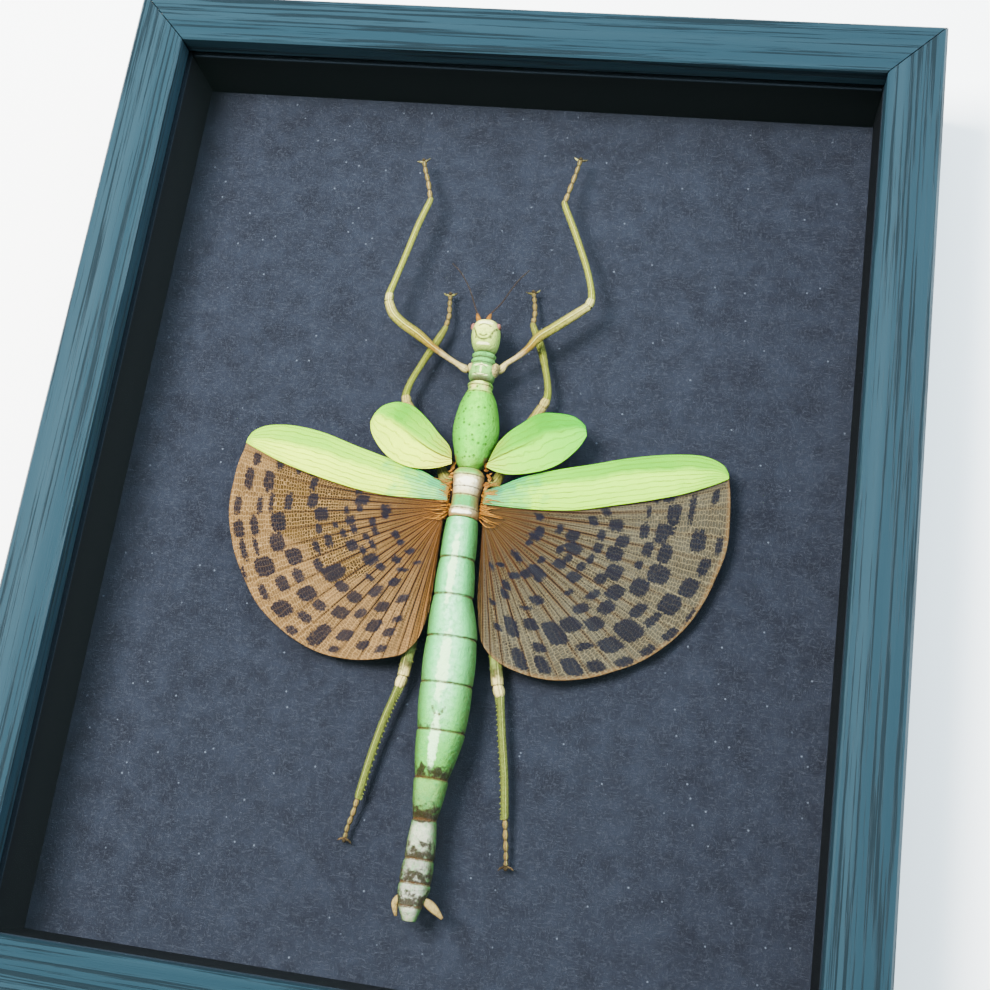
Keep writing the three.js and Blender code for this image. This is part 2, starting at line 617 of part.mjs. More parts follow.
function addThorax() {
  addPiece('prothorax', bodySegment(PROTHORAX, BODY_SIDES), 'neckCuticle');
  addPiece('mesothorax', bodySegment(MESOTHORAX, MESOTHORAX_SIDES), 'thoraxCuticle');
  addPiece('metathorax', bodySegment(METATHORAX, BODY_SIDES), 'creamCuticle');
}

// Abdomen: each segment is pinched at its joints and swells a little between them
function addAbdomen() {
  const scaled = ([y, left, right, tall], factor, shift) => {
    const middle = (left + right) / 2;
    const half = ((right - left) / 2) * factor;
    return [y + shift, middle - half, middle + half, tall * factor];
  };
  const rings = [];
  for (let i = 0; i < ABDOMEN_JOINTS.length - 1; i += 1) {
    const from = ABDOMEN_JOINTS[i];
    const to = ABDOMEN_JOINTS[i + 1];
    const middle = from.map((value, k) => (value + to[k]) / 2);
    rings.push(scaled(from, SEGMENT_PINCH, 0));
    rings.push(scaled(from, 1, -SEGMENT_EDGE));
    rings.push(scaled(middle, SEGMENT_BULGE, 0));
    rings.push(scaled(to, 1, SEGMENT_EDGE));
  }
  rings.push(scaled(ABDOMEN_JOINTS.at(-1), SEGMENT_PINCH, 0));
  rings.push(ABDOMEN_TIP);
  const trunk = bodySegment(rings, BODY_SIDES);
  const cerci = CERCI.map((stations) => limb(stations.map(onBoard), LEG_SIDES));
  addPiece('abdomen', toGeometry(joined([trunk, ...cerci])), 'abdomenCuticle');
}

// Stations of the tarsus: five swellings, smaller towards the claws
function tarsusStations(points) {
  const route = new THREE.CatmullRomCurve3(points.map(([x, y, height]) => (
    new THREE.Vector3(x, y, BOARD_TOP + height)
  )));
  const last = TARSUS_SEGMENTS * 2;
  return Array.from({ length: last + 1 }, (_, i) => {
    const swelling = i % 2 === 0 ? TARSUS_WAIST : TARSUS_SWELL;
    const taper = THREE.MathUtils.lerp(TARSUS_START_SIZE, TARSUS_END_SIZE, i / last);
    const size = TARSUS_HALF_WIDTH * swelling * taper;
    return [...route.getPoint(i / last), size, size];
  });
}

// Two splayed claws and the pad between them, at the end of the tarsus
function foot(points) {
  const [x, y, height] = points.at(-1);
  const before = points.at(-2);
  const heading = Math.atan2(y - before[1], x - before[0]);
  const claws = [-1, 1].map((side) => (
    welded(new THREE.ConeGeometry(CLAW_RADIUS, CLAW_LENGTH, SPIKE_SIDES))
      .translate(0, CLAW_LENGTH / 2, 0)
      .rotateZ(heading + side * CLAW_SPLAY - Math.PI / 2)
      .translate(x, y, BOARD_TOP + height)
  ));
  return [...claws, ellipsoid([x, y, BOARD_TOP + height], [PAD_RADIUS, PAD_RADIUS, PAD_RADIUS], 0)];
}

// A row of small teeth along the inner side of a limb's stations
function teeth(stations, count, inner) {
  const route = new THREE.CatmullRomCurve3(stations.map(([x, y, z]) => new THREE.Vector3(x, y, z)));
  const sizes = new THREE.CatmullRomCurve3(stations.map((station) => new THREE.Vector3(station[3], 0, 0)));
  return Array.from({ length: count }, (_, i) => {
    const along = TEETH_START + (TEETH_END - TEETH_START) * (i / (count - 1));
    const place = route.getPoint(along);
    const reach = sizes.getPoint(along).x * FLAT_SIDE_SHARE + TOOTH_LENGTH / 2 - TOOTH_ROOT;
    return welded(new THREE.ConeGeometry(TOOTH_RADIUS, TOOTH_LENGTH, SPIKE_SIDES))
      .rotateZ(-inner * Math.PI / 2)
      .translate(place.x + inner * reach, place.y, place.z);
  });
}

// One leg: coxa, femur, tibia and tarsus in one run, with the foot and the hind legs' teeth joined on
function leg({ kind, coxa, femur, tibia, tarsus }) {
  const widths = LEG_WIDTHS[kind];
  const sized = (points, sizes) => points.map((point, i) => onBoard([...point, sizes[i], sizes[i] * LEG_FLATNESS]));
  const femurStations = sized(femur, widths.femur);
  const tibiaStations = sized(tibia, widths.tibia);
  const run = [...sized(coxa, widths.coxa), ...femurStations, ...tibiaStations, ...tarsusStations(tarsus)];
  const pieces = [limb(run, LEG_SIDES), ...foot(tarsus)];
  if (kind === 'hind') {
    const inner = -Math.sign(femur[0][0]);
    pieces.push(...teeth(femurStations.slice(1), FEMUR_TOOTH_COUNT, inner));
    pieces.push(...teeth(tibiaStations.slice(1), TIBIA_TOOTH_COUNT, inner));
  }
  return toGeometry(joined(pieces));
}

function addAntennae() {
  Object.entries(ANTENNAE).forEach(([name, points]) => {
    const stations = points.map((point, i) => {
      const size = ANTENNA_HALF_WIDTH * (1 - ANTENNA_TAPER * (i / (points.length - 1)));
      return onBoard([...point, size, size]);
    });
    addPiece(name, limb(stations, ANTENNA_SIDES), 'antennaCuticle');
  });
}

// Fore wing: a leaf with a keel along its middle, highest past half its length
function tegmen({ front, rear }) {
  const frontEdge = flatCurve(front);
  const rearEdge = flatCurve(rear);
  return sheet(TEGMEN_COLUMNS, TEGMEN_ROWS, () => TEGMEN_THICKNESS, (u, v) => {
    const place = rearEdge.getPoint(u).lerp(frontEdge.getPoint(u), v);
    const slope = THREE.MathUtils.lerp(TEGMEN_BASE_HEIGHT, TEGMEN_TIP_HEIGHT, u);
    const rise = Math.sin(Math.PI * u ** KEEL_LEAN);
    const keel = KEEL_HEIGHT * rise * (1 - Math.abs(2 * v - 1) ** KEEL_FULLNESS);
    return place.setZ(BOARD_TOP + slope + keel);
  });
}

// Height of the fan's margin: low at its outer reach, higher where it meets the strip and the body
function fanMarginHeight(turn) {
  const dip = Math.sin(Math.PI * Math.min(1, turn / FAN_DIP_END) ** FAN_DIP_LEAN);
  const rim = THREE.MathUtils.lerp(FAN_TIP_HEIGHT, FAN_BODY_HEIGHT, turn);
  return THREE.MathUtils.lerp(rim, FAN_OUTER_HEIGHT, dip);
}

// Hind wing as one sheet whose columns all run from the base outwards: first those of the stiff
// strip, front edge to rear edge, then the fan's pleated rays, from beside the strip round to the body
function hindWing({ front, rear, margin, hinge }) {
  const frontEdge = flatCurve(front);
  const rearEdge = flatCurve(rear);
  const marginCurve = flatCurve(margin);
  const [hingeStart, hingeEnd] = hinge.map(([x, y]) => new THREE.Vector3(x, y, 0));
  const rays = 2 * FAN_PLEATS;
  const columns = STRIP_COLUMNS + 1 + rays;
  const stripHeight = (along) => THREE.MathUtils.lerp(STRIP_BASE_HEIGHT, STRIP_TIP_HEIGHT, along);
  const onStrip = (across, along) => {
    const camber = STRIP_CAMBER * Math.sin(Math.PI * across) * Math.sin(Math.PI * along);
    return frontEdge.getPoint(along).lerp(rearEdge.getPoint(along), across)
      .setZ(BOARD_TOP + stripHeight(along) + camber);
  };
  const onFan = (ray, along) => {
    const turn = ray / rays;
    const slope = THREE.MathUtils.lerp(FAN_HINGE_HEIGHT, fanMarginHeight(turn), along);
    const pleat = (ray % 2 === 0 ? 0.5 : -0.5) * PLEAT_HEIGHT * Math.sqrt(along);
    const beside = rearEdge.getPoint(along);
    beside.set(beside.x, beside.y - LEDGE_SHIFT, BOARD_TOP + stripHeight(along) - LEDGE_DROP);
    return hingeStart.clone().lerp(hingeEnd, turn).lerp(marginCurve.getPoint(turn), along)
      .setZ(BOARD_TOP + slope + pleat)
      .lerp(beside, Math.max(0, 1 - turn / BESIDE_TURN));
  };
  const columnAt = (u) => Math.round(u * columns);
  const thicknessOf = (u) => (columnAt(u) <= STRIP_COLUMNS ? STRIP_THICKNESS : FAN_THICKNESS);
  return sheet(columns, WING_ROWS, thicknessOf, (u, along) => {
    const column = columnAt(u);
    return column <= STRIP_COLUMNS
      ? onStrip(column / STRIP_COLUMNS, along)
      : onFan(column - STRIP_COLUMNS - 1, along);
  });
}

function addLimbs() {
  addAntennae();
  LEGS.forEach((plan) => addPiece(plan.name, leg(plan), 'legCuticle'));
  Object.entries(TEGMINA).forEach(([name, edges]) => addPiece(name, tegmen(edges), 'leafWing'));
  Object.entries(HIND_WINGS).forEach(([name, plan]) => addPiece(name, hindWing(plan), 'fanWing'));
}

addFrame();
addLayers();
addLiner();
addClips();
addHanger();
addSupports();
addHead();
addThorax();
addAbdomen();
addLimbs();

export default specimen;
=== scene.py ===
"""A spread stick insect in a deep black box frame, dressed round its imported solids.

Lengths are in millimetres until a mesh is finished. +X is right, +Y towards the head and +Z out of the glass.
"""

from __future__ import annotations

import logging
import math
from dataclasses import dataclass
from enum import Enum
from typing import Any, Callable, Sequence

import bmesh
import bpy
import numpy as np
from mathutils import Matrix, Vector


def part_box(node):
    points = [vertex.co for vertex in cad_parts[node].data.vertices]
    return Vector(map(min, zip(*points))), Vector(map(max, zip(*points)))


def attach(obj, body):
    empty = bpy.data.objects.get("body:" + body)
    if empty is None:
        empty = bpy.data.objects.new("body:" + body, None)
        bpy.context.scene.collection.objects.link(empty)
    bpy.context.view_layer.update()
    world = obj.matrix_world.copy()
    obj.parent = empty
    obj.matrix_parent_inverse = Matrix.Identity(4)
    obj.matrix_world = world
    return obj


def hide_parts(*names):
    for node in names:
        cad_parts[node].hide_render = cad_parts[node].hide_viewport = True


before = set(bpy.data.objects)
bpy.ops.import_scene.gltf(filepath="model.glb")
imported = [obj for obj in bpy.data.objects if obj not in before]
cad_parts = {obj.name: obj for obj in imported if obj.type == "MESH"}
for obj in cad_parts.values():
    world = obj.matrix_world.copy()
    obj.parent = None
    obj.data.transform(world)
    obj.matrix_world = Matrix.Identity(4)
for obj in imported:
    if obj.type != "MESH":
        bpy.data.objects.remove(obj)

LOG = logging.getLogger("specimen")
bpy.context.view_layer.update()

MM = 0.001
BOARD_TOP = 17.5
BODY_AXIS = 26.5

Stops = Sequence[tuple[float, str]]
Section = Callable[[np.ndarray], np.ndarray]
Placed = tuple[np.ndarray, dict[str, np.ndarray]]
Placer = Callable[[np.ndarray, np.ndarray], Placed]
Socket = bpy.types.NodeSocket


def linear(colour: str) -> tuple[float, float, float, float]:
    """Turns an sRGB hex colour to the linear values that a shader takes.

    Args:
        colour: the colour as #rrggbb.

    Returns:
        Linear red, green, blue and a full alpha.
    """
    parts = [int(colour[i : i + 2], 16) / 255 for i in (1, 3, 5)]
    curve = [c / 12.92 if c <= 0.04045 else ((c + 0.055) / 1.055) ** 2.4 for c in parts]
    return (*curve, 1.0)


def smooth_path(points: Sequence[Sequence[float]], shares: np.ndarray) -> np.ndarray:
    """Places on a smooth curve through points.

    Args:
        points: the points that the curve passes, in order.
        shares: how far along each place is, from 0 to 1, counted by points.

    Returns:
        One row for each share.
    """
    row = np.asarray(points, float)
    steps = np.clip(shares, 0, 1) * (len(row) - 1)
    index = np.minimum(steps.astype(int), len(row) - 2)
    part = (steps - index)[..., None]
    before, start = row[np.maximum(index - 1, 0)], row[index]
    end, after = row[index + 1], row[np.minimum(index + 2, len(row) - 1)]
    return 0.5 * (
        2 * start
        + (end - before) * part
        + (2 * before - 5 * start + 4 * end - after) * part**2
        + (3 * start - before - 3 * end + after) * part**3
    )


def fade(value: np.ndarray, start: float, end: float) -> np.ndarray:
    """Rises smoothly from 0 at start to 1 at end, or falls where end is the lower."""
    share = np.clip((value - start) / (end - start), 0, 1)
    return share * share * (3 - 2 * share)


class Recipe:
    """The nodes of one material."""

    def __init__(self, name: str) -> None:
        """Starts an empty material.

        Args:
            name: the material's name.
        """
        self.material = bpy.data.materials.new(name)
        self.material.use_nodes = True
        self.tree = self.material.node_tree
        self.tree.nodes.clear()

    def add(
        self,
        kind: str,
        *inputs: Any,
        out: int | str = 0,
        sockets: dict[int | str, Any] | None = None,
        stops: Stops = (),
        **settings: Any,
    ) -> Socket | None:
        """Adds one node.

        Args:
            kind: the node's type, without its ShaderNode prefix.
            inputs: values, colours or sockets for its first inputs, in order.
            out: the output to return.
            sockets: values, colours or sockets for inputs named by name or number.
            stops: places and colours of a colour ramp.
            settings: the node's own properties.

        Returns:
            The output socket asked for, or None from a node without outputs.
        """
        node = self.tree.nodes.new("ShaderNode" + kind)
        for key, value in settings.items():
            setattr(node, key, value)
        for number, (place, colour) in enumerate(stops):
            ramp = node.color_ramp.elements
            stop = ramp[number] if number < 2 else ramp.new(place)
            stop.position = place
            stop.color = linear(colour)
        for key, value in [*enumerate(inputs), *(sockets or {}).items()]:
            socket = node.inputs[key]
            if isinstance(value, Socket):
                self.tree.links.new(value, socket)
            else:
                socket.default_value = linear(value) if isinstance(value, str) else value
        return node.outputs[out] if node.outputs else None

    def maths(self, operation: str, *inputs: Any, **settings: Any) -> Socket:
        """Adds a node that works one number out of others."""
        return self.add("Math", *inputs, operation=operation, **settings)

    def mix(self, share: Any, under: Any, over: Any) -> Socket:
        """Adds a node that mixes two colours."""
        return self.add("MixRGB", share, under, over)

    def noise(self, place: Any, scale: float, detail: float, roughness: float = 0.5) -> Socket:
        """Adds a cloudy noise, scale being how many clouds there are to a unit of place."""
        return self.add("TexNoise", place, sockets={"Scale": scale, "Detail": detail, "Roughness": roughness})

    def ramp(
        self, value: Any, start: Any, end: Any, low: float = 0.0, high: float = 1.0, smooth: bool = False
    ) -> Socket:
        """Turns a value's run from start to end into a run from low to high."""
        kind = "SMOOTHSTEP" if smooth else "LINEAR"
        return self.add("MapRange", value, start, end, low, high, interpolation_type=kind)

    def millimetres(self, stretch: Sequence[float] = (1, 1, 1)) -> Socket:
        """Object coordinates in millimetres.

        Args:
            stretch: a factor on each axis.

        Returns:
            The coordinates.
        """
        place = self.add("TexCoord", out="Object")
        scale = tuple(s / MM for s in stretch)
        return self.add("Mapping", place, sockets={"Scale": scale})

    def value(self, name: str) -> Socket:
        """One of the piece's own values at each point of its surface."""
        return self.add("Attribute", attribute_name=name, out="Fac")

    def close(self, sockets: dict[str, Any], height: Any = None, relief: float = 0.1) -> bpy.types.Material:
        """Adds the shader and the output.

        Args:
            sockets: the shader's inputs.
            height: a socket that gives the surface's relief, if it has one.
            relief: the height of that relief, in millimetres.

        Returns:
            The finished material.
        """
        if height is not None:
            sockets["Normal"] = self.add("Bump", sockets={"Height": height, "Distance": relief * MM})
        self.add("OutputMaterial", self.add("BsdfPrincipled", sockets=sockets))
        return self.material

class Grain(Enum):
    """The direction in which wood grain runs, as how much each axis is squeezed."""

    UPRIGHT = (1.0, 0.012, 1.0)
    LEVEL = (0.012, 1.0, 1.0)


@dataclass(frozen=True)
class StainedWood:
    """Black stained ash, brushed and lacquered: open grain grooves in a satin film. Its colours are lifted to
    a teal grey as a painted reflection of the pale bluish surroundings.
    """

    grain: Grain
    # painted reflection: the near black stain is lifted to teal grey to stand for the bluish sheen
    body: str = "#12242c"
    worn: str = "#1e3038"
    pore: str = "#0c171c"
    pores_per_mm: float = 1.3
    roughness: float = 0.52
    sheen: float = 0.22

    def make(self) -> bpy.types.Material:
        """Builds the material.

        Returns:
            The finished material.
        """
        recipe = Recipe(f"stained_wood_{self.grain.name.lower()}")
        place = recipe.millimetres(self.grain.value)
        streaks = recipe.noise(place, self.pores_per_mm, 4.0, 0.6)
        broad = recipe.noise(place, 0.16, 2.0)
        fine = recipe.noise(place, 4.2, 2.0)
        pores = recipe.ramp(streaks, 0.6, 0.52, smooth=True)
        tone = recipe.ramp(broad, 0.35, 0.7, 0.0, 0.55)
        colour = recipe.mix(tone, self.body, self.worn)
        colour = recipe.mix(pores, self.pore, colour)
        height = recipe.maths("ADD", pores, recipe.maths("MULTIPLY", fine, 0.5))
        rough = recipe.ramp(streaks, 0.3, 0.7, self.roughness - 0.08, self.roughness + 0.12)
        sockets = {"Base Color": colour, "Roughness": rough, "IOR": 1.5, "Specular IOR Level": self.sheen}
        return recipe.close(sockets, height, 0.12)


@dataclass(frozen=True)
class SlatePaper:
    """Slate grey art paper over board: short pale fibres and a few bright specks, fully matt."""

    name: str = "slate_paper"
    body: str = "#1a1e27"
    dark: str = "#13151c"
    fibre: str = "#282c34"
    speck: str = "#4c5560"

    def make(self) -> bpy.types.Material:
        """Builds the material. Its fibres are about 2 mm long and 0.3 mm wide.

        Returns:
            The finished material.
        """
        recipe = Recipe(self.name)
        cloud = recipe.noise(recipe.millimetres(), 0.12, 4.0, 0.7)
        colour = recipe.mix(recipe.ramp(cloud, 0.35, 0.65), self.dark, self.body)
        height = cloud
        for stretch in ((0.9, 3.2, 1.0), (3.4, 1.3, 1.0)):
            fibres = recipe.noise(recipe.millimetres(stretch), 1.0, 2.0)
            mask = recipe.ramp(fibres, 0.52, 0.72, 0.0, 0.6, smooth=True)
            colour = recipe.mix(mask, colour, self.fibre)
            height = recipe.maths("ADD", height, mask)
        dots = recipe.add("TexVoronoi", recipe.millimetres(), sockets={"Scale": 0.22})
        mask = recipe.ramp(dots, 0.07, 0.04, 0.0, 0.7)
        colour = recipe.mix(mask, colour, self.speck)
        return recipe.close({"Base Color": colour, "Roughness": 0.93, "IOR": 1.45}, height, 0.06)


@dataclass(frozen=True)
class LinerPaper:
    """Black paper over the liner strips: matt, with a paler bluish band towards the glass, a painted
    highlight of the glass edge.
    """

    name: str = "black_liner"
    body: str = "#040406"
    worn: str = "#07070a"
    # painted highlight: the bluish band where the liner meets the glass
    edge: str = "#141b22"
    glint_start: float = 35.55
    glint_end: float = 35.8

    def make(self) -> bpy.types.Material:
        """Builds the material.

        Returns:
            The finished material.
        """
        recipe = Recipe(self.name)
        place = recipe.millimetres()
        height = recipe.add("SeparateXYZ", place, out="Z")
        # Painted highlight band just under the glass.
        glint_band = recipe.ramp(height, self.glint_start, self.glint_end)
        noise = recipe.noise(place, 2.2, 4.0)
        body = recipe.mix(noise, self.body, self.worn)
        colour = recipe.mix(glint_band, body, self.edge)
        return recipe.close({"Base Color": colour, "Roughness": 0.9, "IOR": 1.35}, noise, 0.04)


@dataclass(frozen=True)
class FloatGlass:
    """Clear float glass: smooth and nearly unseen, with a faint reflection and a slightly green body."""

    name: str = "clear_glass"
    tint: str = "#0a1311"
    presence: float = 0.04

    def make(self) -> bpy.types.Material:
        """Builds the material. Its presence is the share of light that doesn't pass straight through.

        Returns:
            The finished material.
        """
        recipe = Recipe(self.name)
        sockets = {"Base Color": linear(self.tint), "Roughness": 0.02, "IOR": 1.5, "Alpha": self.presence}
        return recipe.close(sockets)


@dataclass(frozen=True)
class Plain:
    """A finish whose variation is a fine noise: hardboard, zinc plated steel or foam."""

    name: str
    light: str
    dark: str
    grit_per_mm: float
    roughness: float
    metallic: float = 0.0
    stretch: tuple[float, float, float] = (1.0, 1.0, 1.0)
    relief: float = 0.05

    def make(self) -> bpy.types.Material:
        """Builds the material.

        Returns:
            The finished material.
        """
        recipe = Recipe(self.name)
        place = recipe.millimetres(self.stretch)
        grit = recipe.noise(place, self.grit_per_mm, 5.0, 0.65)
        tone = recipe.ramp(grit, 0.35, 0.65)
        colour = recipe.mix(tone, self.dark, self.light)
        rough = recipe.ramp(grit, 0.3, 0.7, self.roughness - 0.08, self.roughness + 0.08)
        sockets = {"Base Color": colour, "Roughness": rough, "Metallic": self.metallic}
        return recipe.close(sockets, grit, self.relief)


@dataclass(frozen=True)
class Cuticle:
    """Dried insect skin: hard, thin and a little waxy, mottled, with paler or darker flanks, and on some
    pieces a painted highlight along the top.
    """

    name: str
    bands: Stops
    flank: str
    flank_start: float = 0.45
    flank_share: float = 0.8
    # Painted highlight: a pale patchy band along the top middle, fading out at its end along the body.
    painted_highlight: str = "#c8f0d8"
    highlight_share: float = 0.0
    highlight_width: float = 0.6
    highlight_end: float = 1000.0
    ridge: str = "#c8c468"
    ridge_place: float = 0.0
    ridge_width: float = 0.16
    ridge_share: float = 0.0
    mottle: str = "#303820"
    mottle_per_mm: float = 0.9
    mottle_share: float = 0.5
    speck: str = "#202814"
    speck_per_mm: float = 0.0
    speck_radius: float = 0.16
    seam: str = "#302414"
    seam_width: float = 0.22
    dark: str = "#282014"
    pale: str = "#f0f090"
    roughness: float = 0.52
    sheen: float = 0.28
    relief: float = 0.3

    def make(self) -> bpy.types.Material:
        """Builds the material. Bands run along the piece's own value of that name.

        Returns:
            The finished material.
        """
        recipe = Recipe(self.name)
        place = recipe.millimetres()
        wobble = recipe.noise(place, 0.7, 3.0)
        mottle = recipe.noise(place, self.mottle_per_mm, 5.0, 0.7)
        colour = self.banded(recipe, wobble)
        outward = recipe.maths("ABSOLUTE", recipe.value("side"))
        flank = recipe.ramp(outward, self.flank_start, 1.0, 0.0, self.flank_share, smooth=True)
        colour = recipe.mix(flank, colour, self.flank)
        # Painted highlight along the top middle, broken into patches and faded out towards the tail.
        if self.highlight_share:
            patches = recipe.ramp(wobble, 0.35, 0.6, 0.35, 1.0)
            painted_highlight = recipe.ramp(outward, self.highlight_width, 0.05, 0.0, self.highlight_share)
            painted_highlight = recipe.maths("MULTIPLY", painted_highlight, patches)
            ahead = recipe.ramp(recipe.value("along"), self.highlight_end - 14.0, self.highlight_end, 1.0, 0.0)
            painted_highlight = recipe.maths("MULTIPLY", painted_highlight, ahead)
            colour = recipe.mix(painted_highlight, colour, self.painted_highlight)
        mask = recipe.ramp(mottle, 0.47, 0.66, 0.0, self.mottle_share)
        colour = recipe.mix(mask, colour, self.mottle)
        creases = recipe.noise(recipe.millimetres((1.6, 0.5, 1.6)), 1.4, 4.0)
        height = recipe.maths("ADD", recipe.maths("ADD", mottle, creases), wobble)
        if self.ridge_share:
            off = recipe.maths("SUBTRACT", recipe.value("side"), self.ridge_place)
            off = recipe.maths("ABSOLUTE", off)
            beside = recipe.maths("SUBTRACT", off, self.ridge_width * 2.4)
            beside = recipe.maths("ABSOLUTE", beside)
            groove = recipe.ramp(beside, self.ridge_width * 0.9, self.ridge_width * 0.3, 0.0, 0.7)
            colour = recipe.mix(groove, colour, self.flank)
            mask = recipe.ramp(off, self.ridge_width, self.ridge_width * 0.4, 0.0, self.ridge_share)
            colour = recipe.mix(mask, colour, self.ridge)
        if self.speck_per_mm:
            cells = recipe.add("TexVoronoi", place, sockets={"Scale": self.speck_per_mm, "Randomness": 0.75})
            edge = self.speck_radius * self.speck_per_mm
            mask = recipe.ramp(cells, edge * 1.5, edge * 0.7, 0.0, 0.75)
            colour = recipe.mix(mask, colour, self.speck)
            height = recipe.maths("SUBTRACT", height, mask)
        # Pale and dark marks from the pieces' own values; on the abdomen the pale ones are painted highlight
        # streaks.
        for value, paint in (("pale", self.pale), ("dark", self.dark)):
            ragged = recipe.ramp(wobble, 0.3, 0.7, -0.3, 0.3)
            ragged = recipe.maths("ADD", recipe.value(value), ragged)
            mask = recipe.ramp(ragged, 0.3, 0.7, 0.0, 0.95, smooth=True)
            colour = recipe.mix(mask, colour, paint)
        seam = recipe.ramp(recipe.value("seam"), self.seam_width, self.seam_width * 0.4, 0.0, 0.9)
        seam = recipe.maths("MULTIPLY", seam, recipe.ramp(mottle, 0.3, 0.55, 0.35, 1.0))
        colour = recipe.mix(seam, colour, self.seam)
        rough = recipe.ramp(mottle, 0.3, 0.7, self.roughness - 0.06, self.roughness + 0.14)
        sockets = {
            "Base Color": colour,
            "Roughness": rough,
            "IOR": 1.5,
            "Specular IOR Level": self.sheen,
            "Subsurface Weight": 0.12,
            "Subsurface Radius": (0.6, 1.0, 0.4),
            "Subsurface Scale": 0.0006,
        }
        return recipe.close(sockets, height, self.relief)

    def banded(self, recipe: Recipe, wobble: Socket) -> Socket:
        """Spreads the band colours along the piece.

        Args:
            recipe: the material.
            wobble: a noise that makes their borders uneven.

        Returns:
            The colour at each place.
        """
        first, last = self.bands[0][0], self.bands[-1][0]
        stops = [((at - first) / (last - first), colour) for at, colour in self.bands]
        share = recipe.ramp(recipe.value("along"), first, last)
        shift = recipe.ramp(wobble, 0.0, 1.0, -0.012, 0.012)
        share = recipe.maths("ADD", share, shift)
        return recipe.add("ValToRGB", share, stops=stops)


@dataclass(frozen=True)
class LeafWing:
    """Leathery green wing: lengthwise veins pressed into a waxy skin, paler behind its fold."""

    name: str
    front: Stops
    rear: Stops
    fold: float
    vein: str = "#4c6c08"
    base_vein: str = "#50380c"
    veins: float = 9.0
    vein_share: float = 0.75
    vein_sway: float = 0.22
    keel: str = "#382c10"
    keel_share: float = 0.8
    keel_end: float = 0.62
    roughness: float = 0.4
    sheen: float = 0.22

    def make(self) -> bpy.types.Material:
        """Builds the material. The two ramps run from base to tip, ahead of the fold and behind it.

        Returns:
            The finished material.
        """
        recipe = Recipe(self.name)
        place = recipe.millimetres()
        along, across = recipe.value("along"), recipe.value("across")
        cloud = recipe.noise(place, 0.22, 4.0, 0.6)
        drift = recipe.ramp(cloud, 0.3, 0.7, -0.09, 0.09)
        share = recipe.maths("ADD", along, drift)
        front = recipe.add("ValToRGB", share, stops=self.front)
        rear = recipe.add("ValToRGB", share, stops=self.rear)
        behind = recipe.maths("ADD", across, recipe.maths("MULTIPLY", drift, 0.5))
        side = recipe.ramp(behind, self.fold - 0.12, self.fold + 0.12, smooth=True)
        colour = recipe.mix(side, front, rear)
        sway = recipe.ramp(cloud, 0.3, 0.7, -self.vein_sway, self.vein_sway)
        lines = recipe.maths("ADD", recipe.maths("MULTIPLY", across, self.veins), sway)
        lines = recipe.maths("FRACT", lines)
        near = recipe.maths("ABSOLUTE", recipe.maths("SUBTRACT", lines, 0.5))
        vein = recipe.ramp(near, 0.13, 0.03, smooth=True)
        patchy = recipe.noise(recipe.millimetres((0.12, 1.2, 1)), 0.8, 3.0)
        weight = recipe.ramp(patchy, 0.35, 0.65, 0.1, self.vein_share)
        vein_mask = recipe.maths("MULTIPLY", vein, weight)
        colour = recipe.mix(vein_mask, colour, self.vein)
        root = recipe.ramp(along, 0.36, 0.02)
        root_mask = recipe.maths("MULTIPLY", vein, root)
        colour = recipe.mix(root_mask, colour, self.base_vein)
        off_keel = recipe.maths("ABSOLUTE", recipe.value("keel"))
        keel = recipe.ramp(off_keel, 0.3, 0.1, 0.0, self.keel_share)
        fading = recipe.ramp(along, self.keel_end, self.keel_end - 0.25)
        keel_mask = recipe.maths("MULTIPLY", keel, fading)
        colour = recipe.mix(keel_mask, colour, self.keel)
        net = recipe.add("TexVoronoi", place, feature="DISTANCE_TO_EDGE", sockets={"Scale": 1.1})
        mesh = recipe.ramp(net, 0.07, 0.0)
        height = recipe.maths("ADD", recipe.maths("MULTIPLY", mesh, 0.35), vein)
        sockets = {
            "Base Color": colour,
            "Roughness": self.roughness,
            "IOR": 1.48,
            "Specular IOR Level": self.sheen,
            "Subsurface Weight": 0.08,
            "Subsurface Radius": (0.8, 1.0, 0.3),
            "Subsurface Scale": 0.0005,
        }
        return recipe.close(sockets, height, 0.1)


